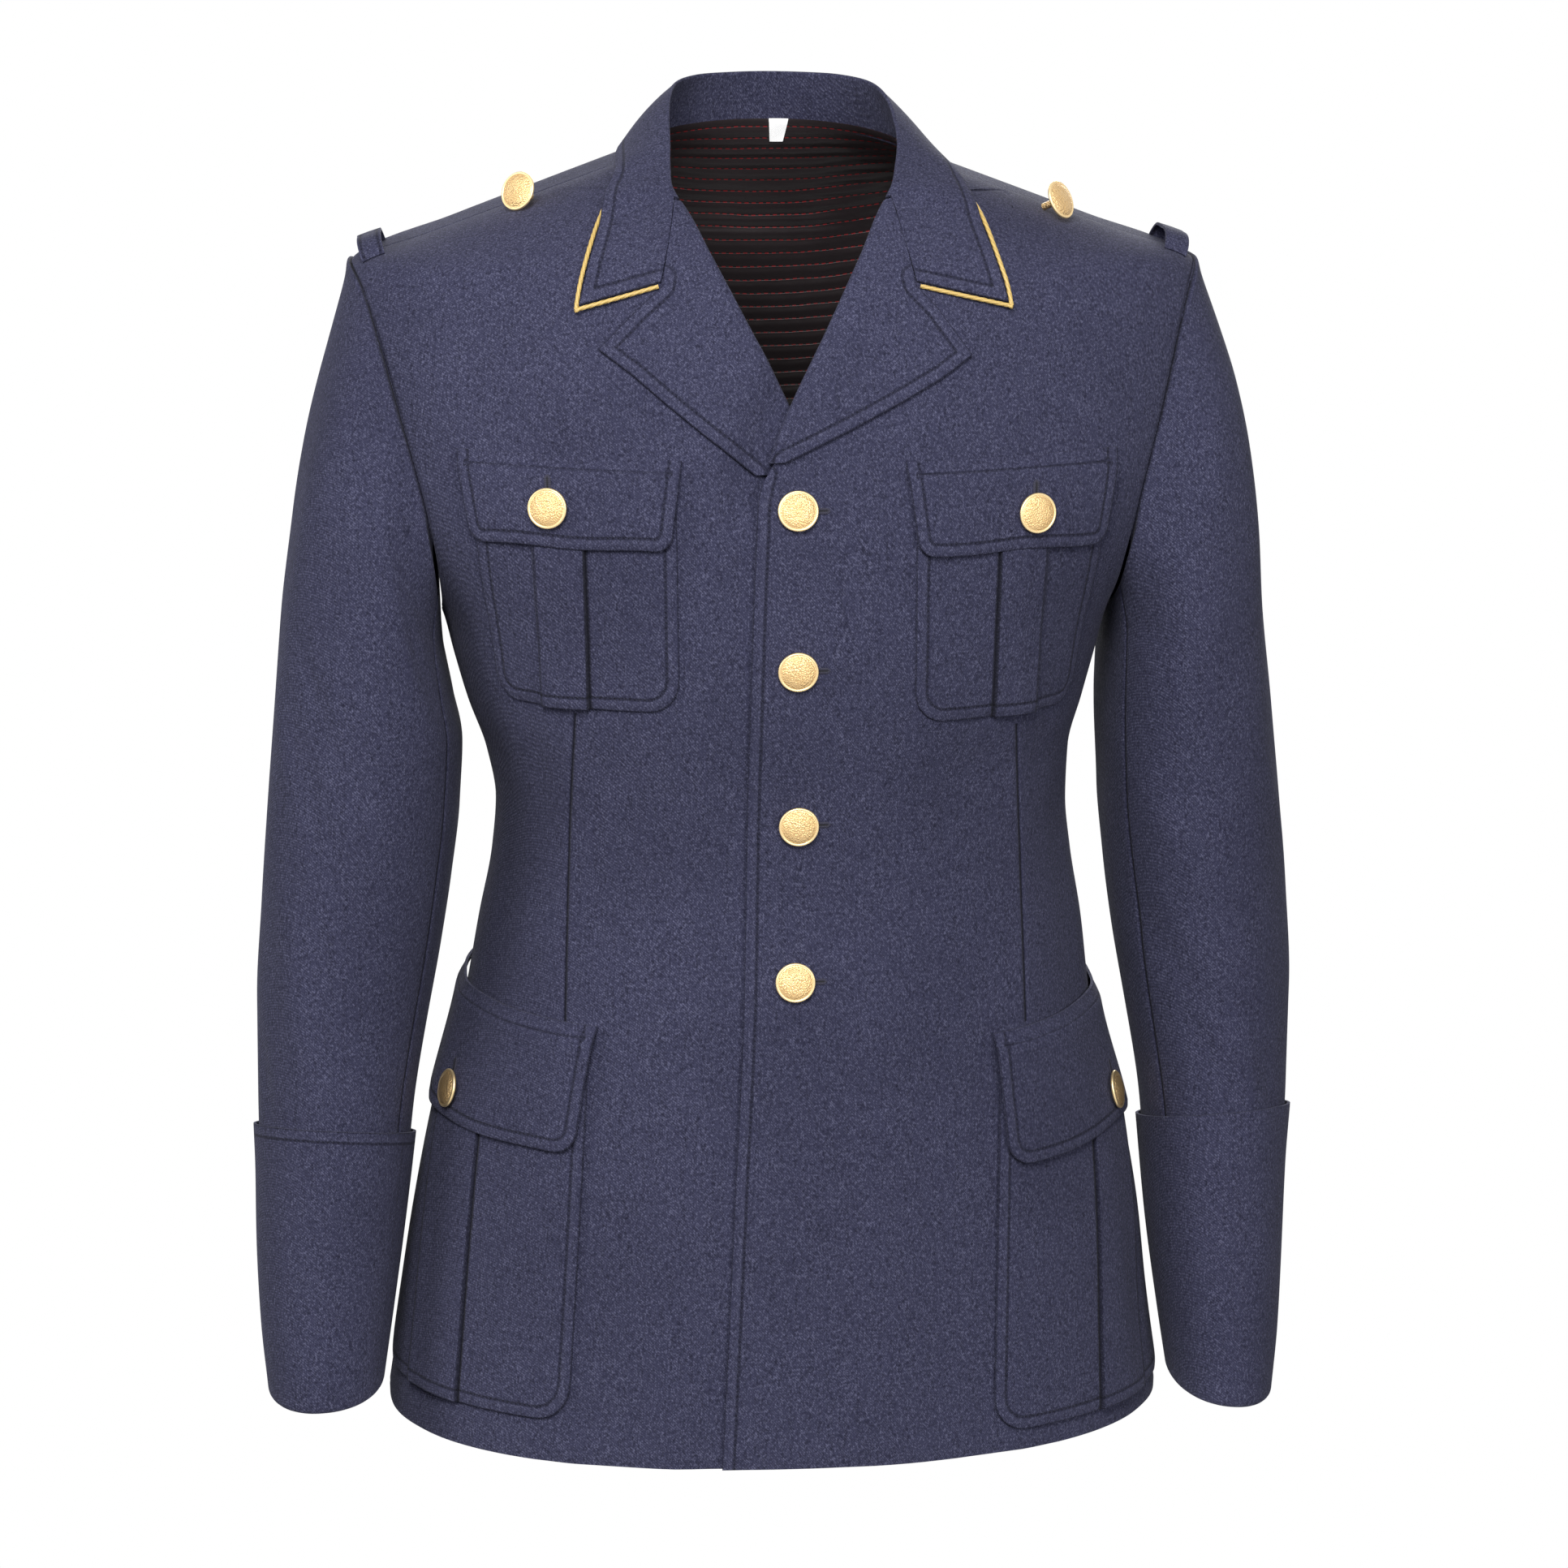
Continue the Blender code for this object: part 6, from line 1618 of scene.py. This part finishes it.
def loop_point(side, x, y, share):
    """The point of the shoulder under (x, y), lifted by the arch of the loop."""
    low = np.array([SHOULDER_LEVEL * 1.8, -0.0004])
    for _ in range(40):
        level = low.mean()
        half = 1 if y < 0 else -1
        wide, front_depth, back_depth = axes_at(LEFT, level)
        deep = front_depth if half > 0 else back_depth
        held = min(x / float(wide), 1.0)
        reach = float(deep) * (1 - held ** ROUNDNESS) ** (1 / ROUNDNESS)
        if x >= float(wide) or reach < abs(y):
            low[1] = level
        else:
            low[0] = level
    level = low.mean()
    angle = float(np.degrees(np.arctan2(x, -y)))
    arch = CLOTH / 2 - LOOP_SEAT + LOOP_RISE * (1 - share ** 4)
    return skin(side * angle, level, arch)


def loop(name, side):
    shares = np.linspace(-1.0, 1.0, 61)
    places = np.linspace(-0.5, 0.5, 11)
    grid = np.array([
        [loop_point(side, LOOP_X + k * LOOP_WIDTH, share * LOOP_HALF, share) for k in places]
        for share in shares
    ])
    lift = grid_normals(grid) * (CLOTH / 2)
    edge = np.minimum(along_rows(grid, 1), along_rows(grid[:, ::-1], 1)[:, ::-1])
    run = along_rows(grid, 0)
    return wall(name, grid + lift, grid - lift, WOOL, name, rim=edge + STITCH_IN - 0.0018, run=run)


loops = [loop("shoulder_loop_left", LEFT), loop("shoulder_loop_right", RIGHT)]

# Size tab: a small blank tape of white cloth hangs from the neck seam over the lining.
# It glows a little, a painted light that keeps it white in the lining's shade.
TAB_WIDTH = 0.0112
TAB_LENGTH = 0.0160
TAB_X = 0.0030
TAB_GLOW = 0.5
tape = Look("tape", (0.86, 0.86, 0.86), 0.75)
# Painted light: the tape glows white by TAB_GLOW though it is no lamp.
tape.shader.inputs["Emission Color"].default_value = (1.0, 1.0, 1.0, 1.0)
tape.shader.inputs["Emission Strength"].default_value = TAB_GLOW
threads = (tape.part(0) * 5200.0).sin() * (tape.part(2) * 5200.0).sin()
TAPE = tape.finish(tape.tint(None, threads * 0.10, (0.70, 0.70, 0.70)), None, threads, 0.3, 0.0002)
down, across = np.meshgrid(np.linspace(0.0, 1.0, 25), np.linspace(0.0, 1.0, 15), indexing="ij")
tab_x = TAB_X + (across * (1.0 - 0.40 * down) + 0.05 * down) * TAB_WIDTH
top_xs = lining_inner[2, :, 0]
order = np.argsort(top_xs)
column = np.interp(tab_x, top_xs[order], order.astype(float))
nearest = np.rint(column[0]).astype(int)
lengths = down_lining[:, nearest[7]]
row = np.interp(down * TAB_LENGTH, lengths, np.arange(float(len(lengths))))


def sampled(grid, row, column):
    """The point of a grid at a fractional row and column."""
    r = np.minimum(row.astype(int), grid.shape[0] - 2)
    c = np.minimum(column.astype(int), grid.shape[1] - 2)
    t = (row - r)[..., None]
    u = (column - c)[..., None]
    top = grid[r, c] * (1 - u) + grid[r, c + 1] * u
    low = grid[r + 1, c] * (1 - u) + grid[r + 1, c + 1] * u
    return top * (1 - t) + low * t


on_lining = sampled(lining_inner, row, column)
off = np.array([0.0, -1.0, 0.15])
away = 0.0008 + 0.0016 * down + 0.0005 * np.sin(down * 4.0 + across * 2.0)
tab_inner = on_lining + off * away[..., None]
tab_outer = tab_inner + off * 0.0005
tab = wall("size_tab", tab_outer, tab_inner, TAPE, "size_tab")

# Studio: a small pale floor below the hem, outside the photograph's view, a white world
# that is dimmed for diffuse rays, and soft lamps in front, at the left and behind.
WORLD_SEEN = 1.0
WORLD_DIFFUSE = 0.03
FLOOR_LEVEL = -1.05
FLOOR_HALF = 0.45
corners = [(x * FLOOR_HALF, y * FLOOR_HALF, FLOOR_LEVEL) for x, y in ((-1, -1), (1, -1), (1, 1), (-1, 1))]
floor_mesh = bpy.data.meshes.new("floor")
floor_mesh.from_pydata(corners, [], [(0, 1, 2, 3)])
floor = bpy.data.objects.new("floor", floor_mesh)
bpy.context.scene.collection.objects.link(floor)
pale = Look("pale_floor", (0.96, 0.96, 0.96), 0.9)
floor_mesh.materials.append(pale.finish(pale.tint(None, pale.noise(3.0) * 0.1, (0.94, 0.94, 0.95))))
bpy.context.scene.view_settings.view_transform = "Standard"
world = bpy.data.worlds.new("studio")
world.use_nodes = True
sky = world.node_tree.nodes["Background"]
sky.inputs["Color"].default_value = (1.0, 1.0, 1.0, 1.0)
rays = world.node_tree.nodes.new("ShaderNodeLightPath")
strength = world.node_tree.nodes.new("ShaderNodeMapRange")
strength.inputs["To Min"].default_value = WORLD_SEEN
strength.inputs["To Max"].default_value = WORLD_DIFFUSE
world.node_tree.links.new(rays.outputs["Is Diffuse Ray"], strength.inputs["Value"])
world.node_tree.links.new(strength.outputs[0], sky.inputs["Strength"])
bpy.context.scene.world = world
LAMPS = [
    # name, place, size, watts
    ("key", (-0.6, -2.5, 1.6), 1.3, 74.0),
    ("fill", (1.1, -2.6, 0.3), 1.2, 27.0),
    ("edge", (-2.3, -0.6, 0.4), 1.0, 16.0),
    ("back", (0.5, 2.6, 0.5), 1.6, 70.0),
]
for name, place, size, watts in LAMPS:
    data = bpy.data.lights.new(name, "AREA")
    data.size = size
    data.energy = watts
    lamp = bpy.data.objects.new(name, data)
    bpy.context.scene.collection.objects.link(lamp)
    lamp.location = place
    aim(lamp, (0.0, 0.0, -0.35))
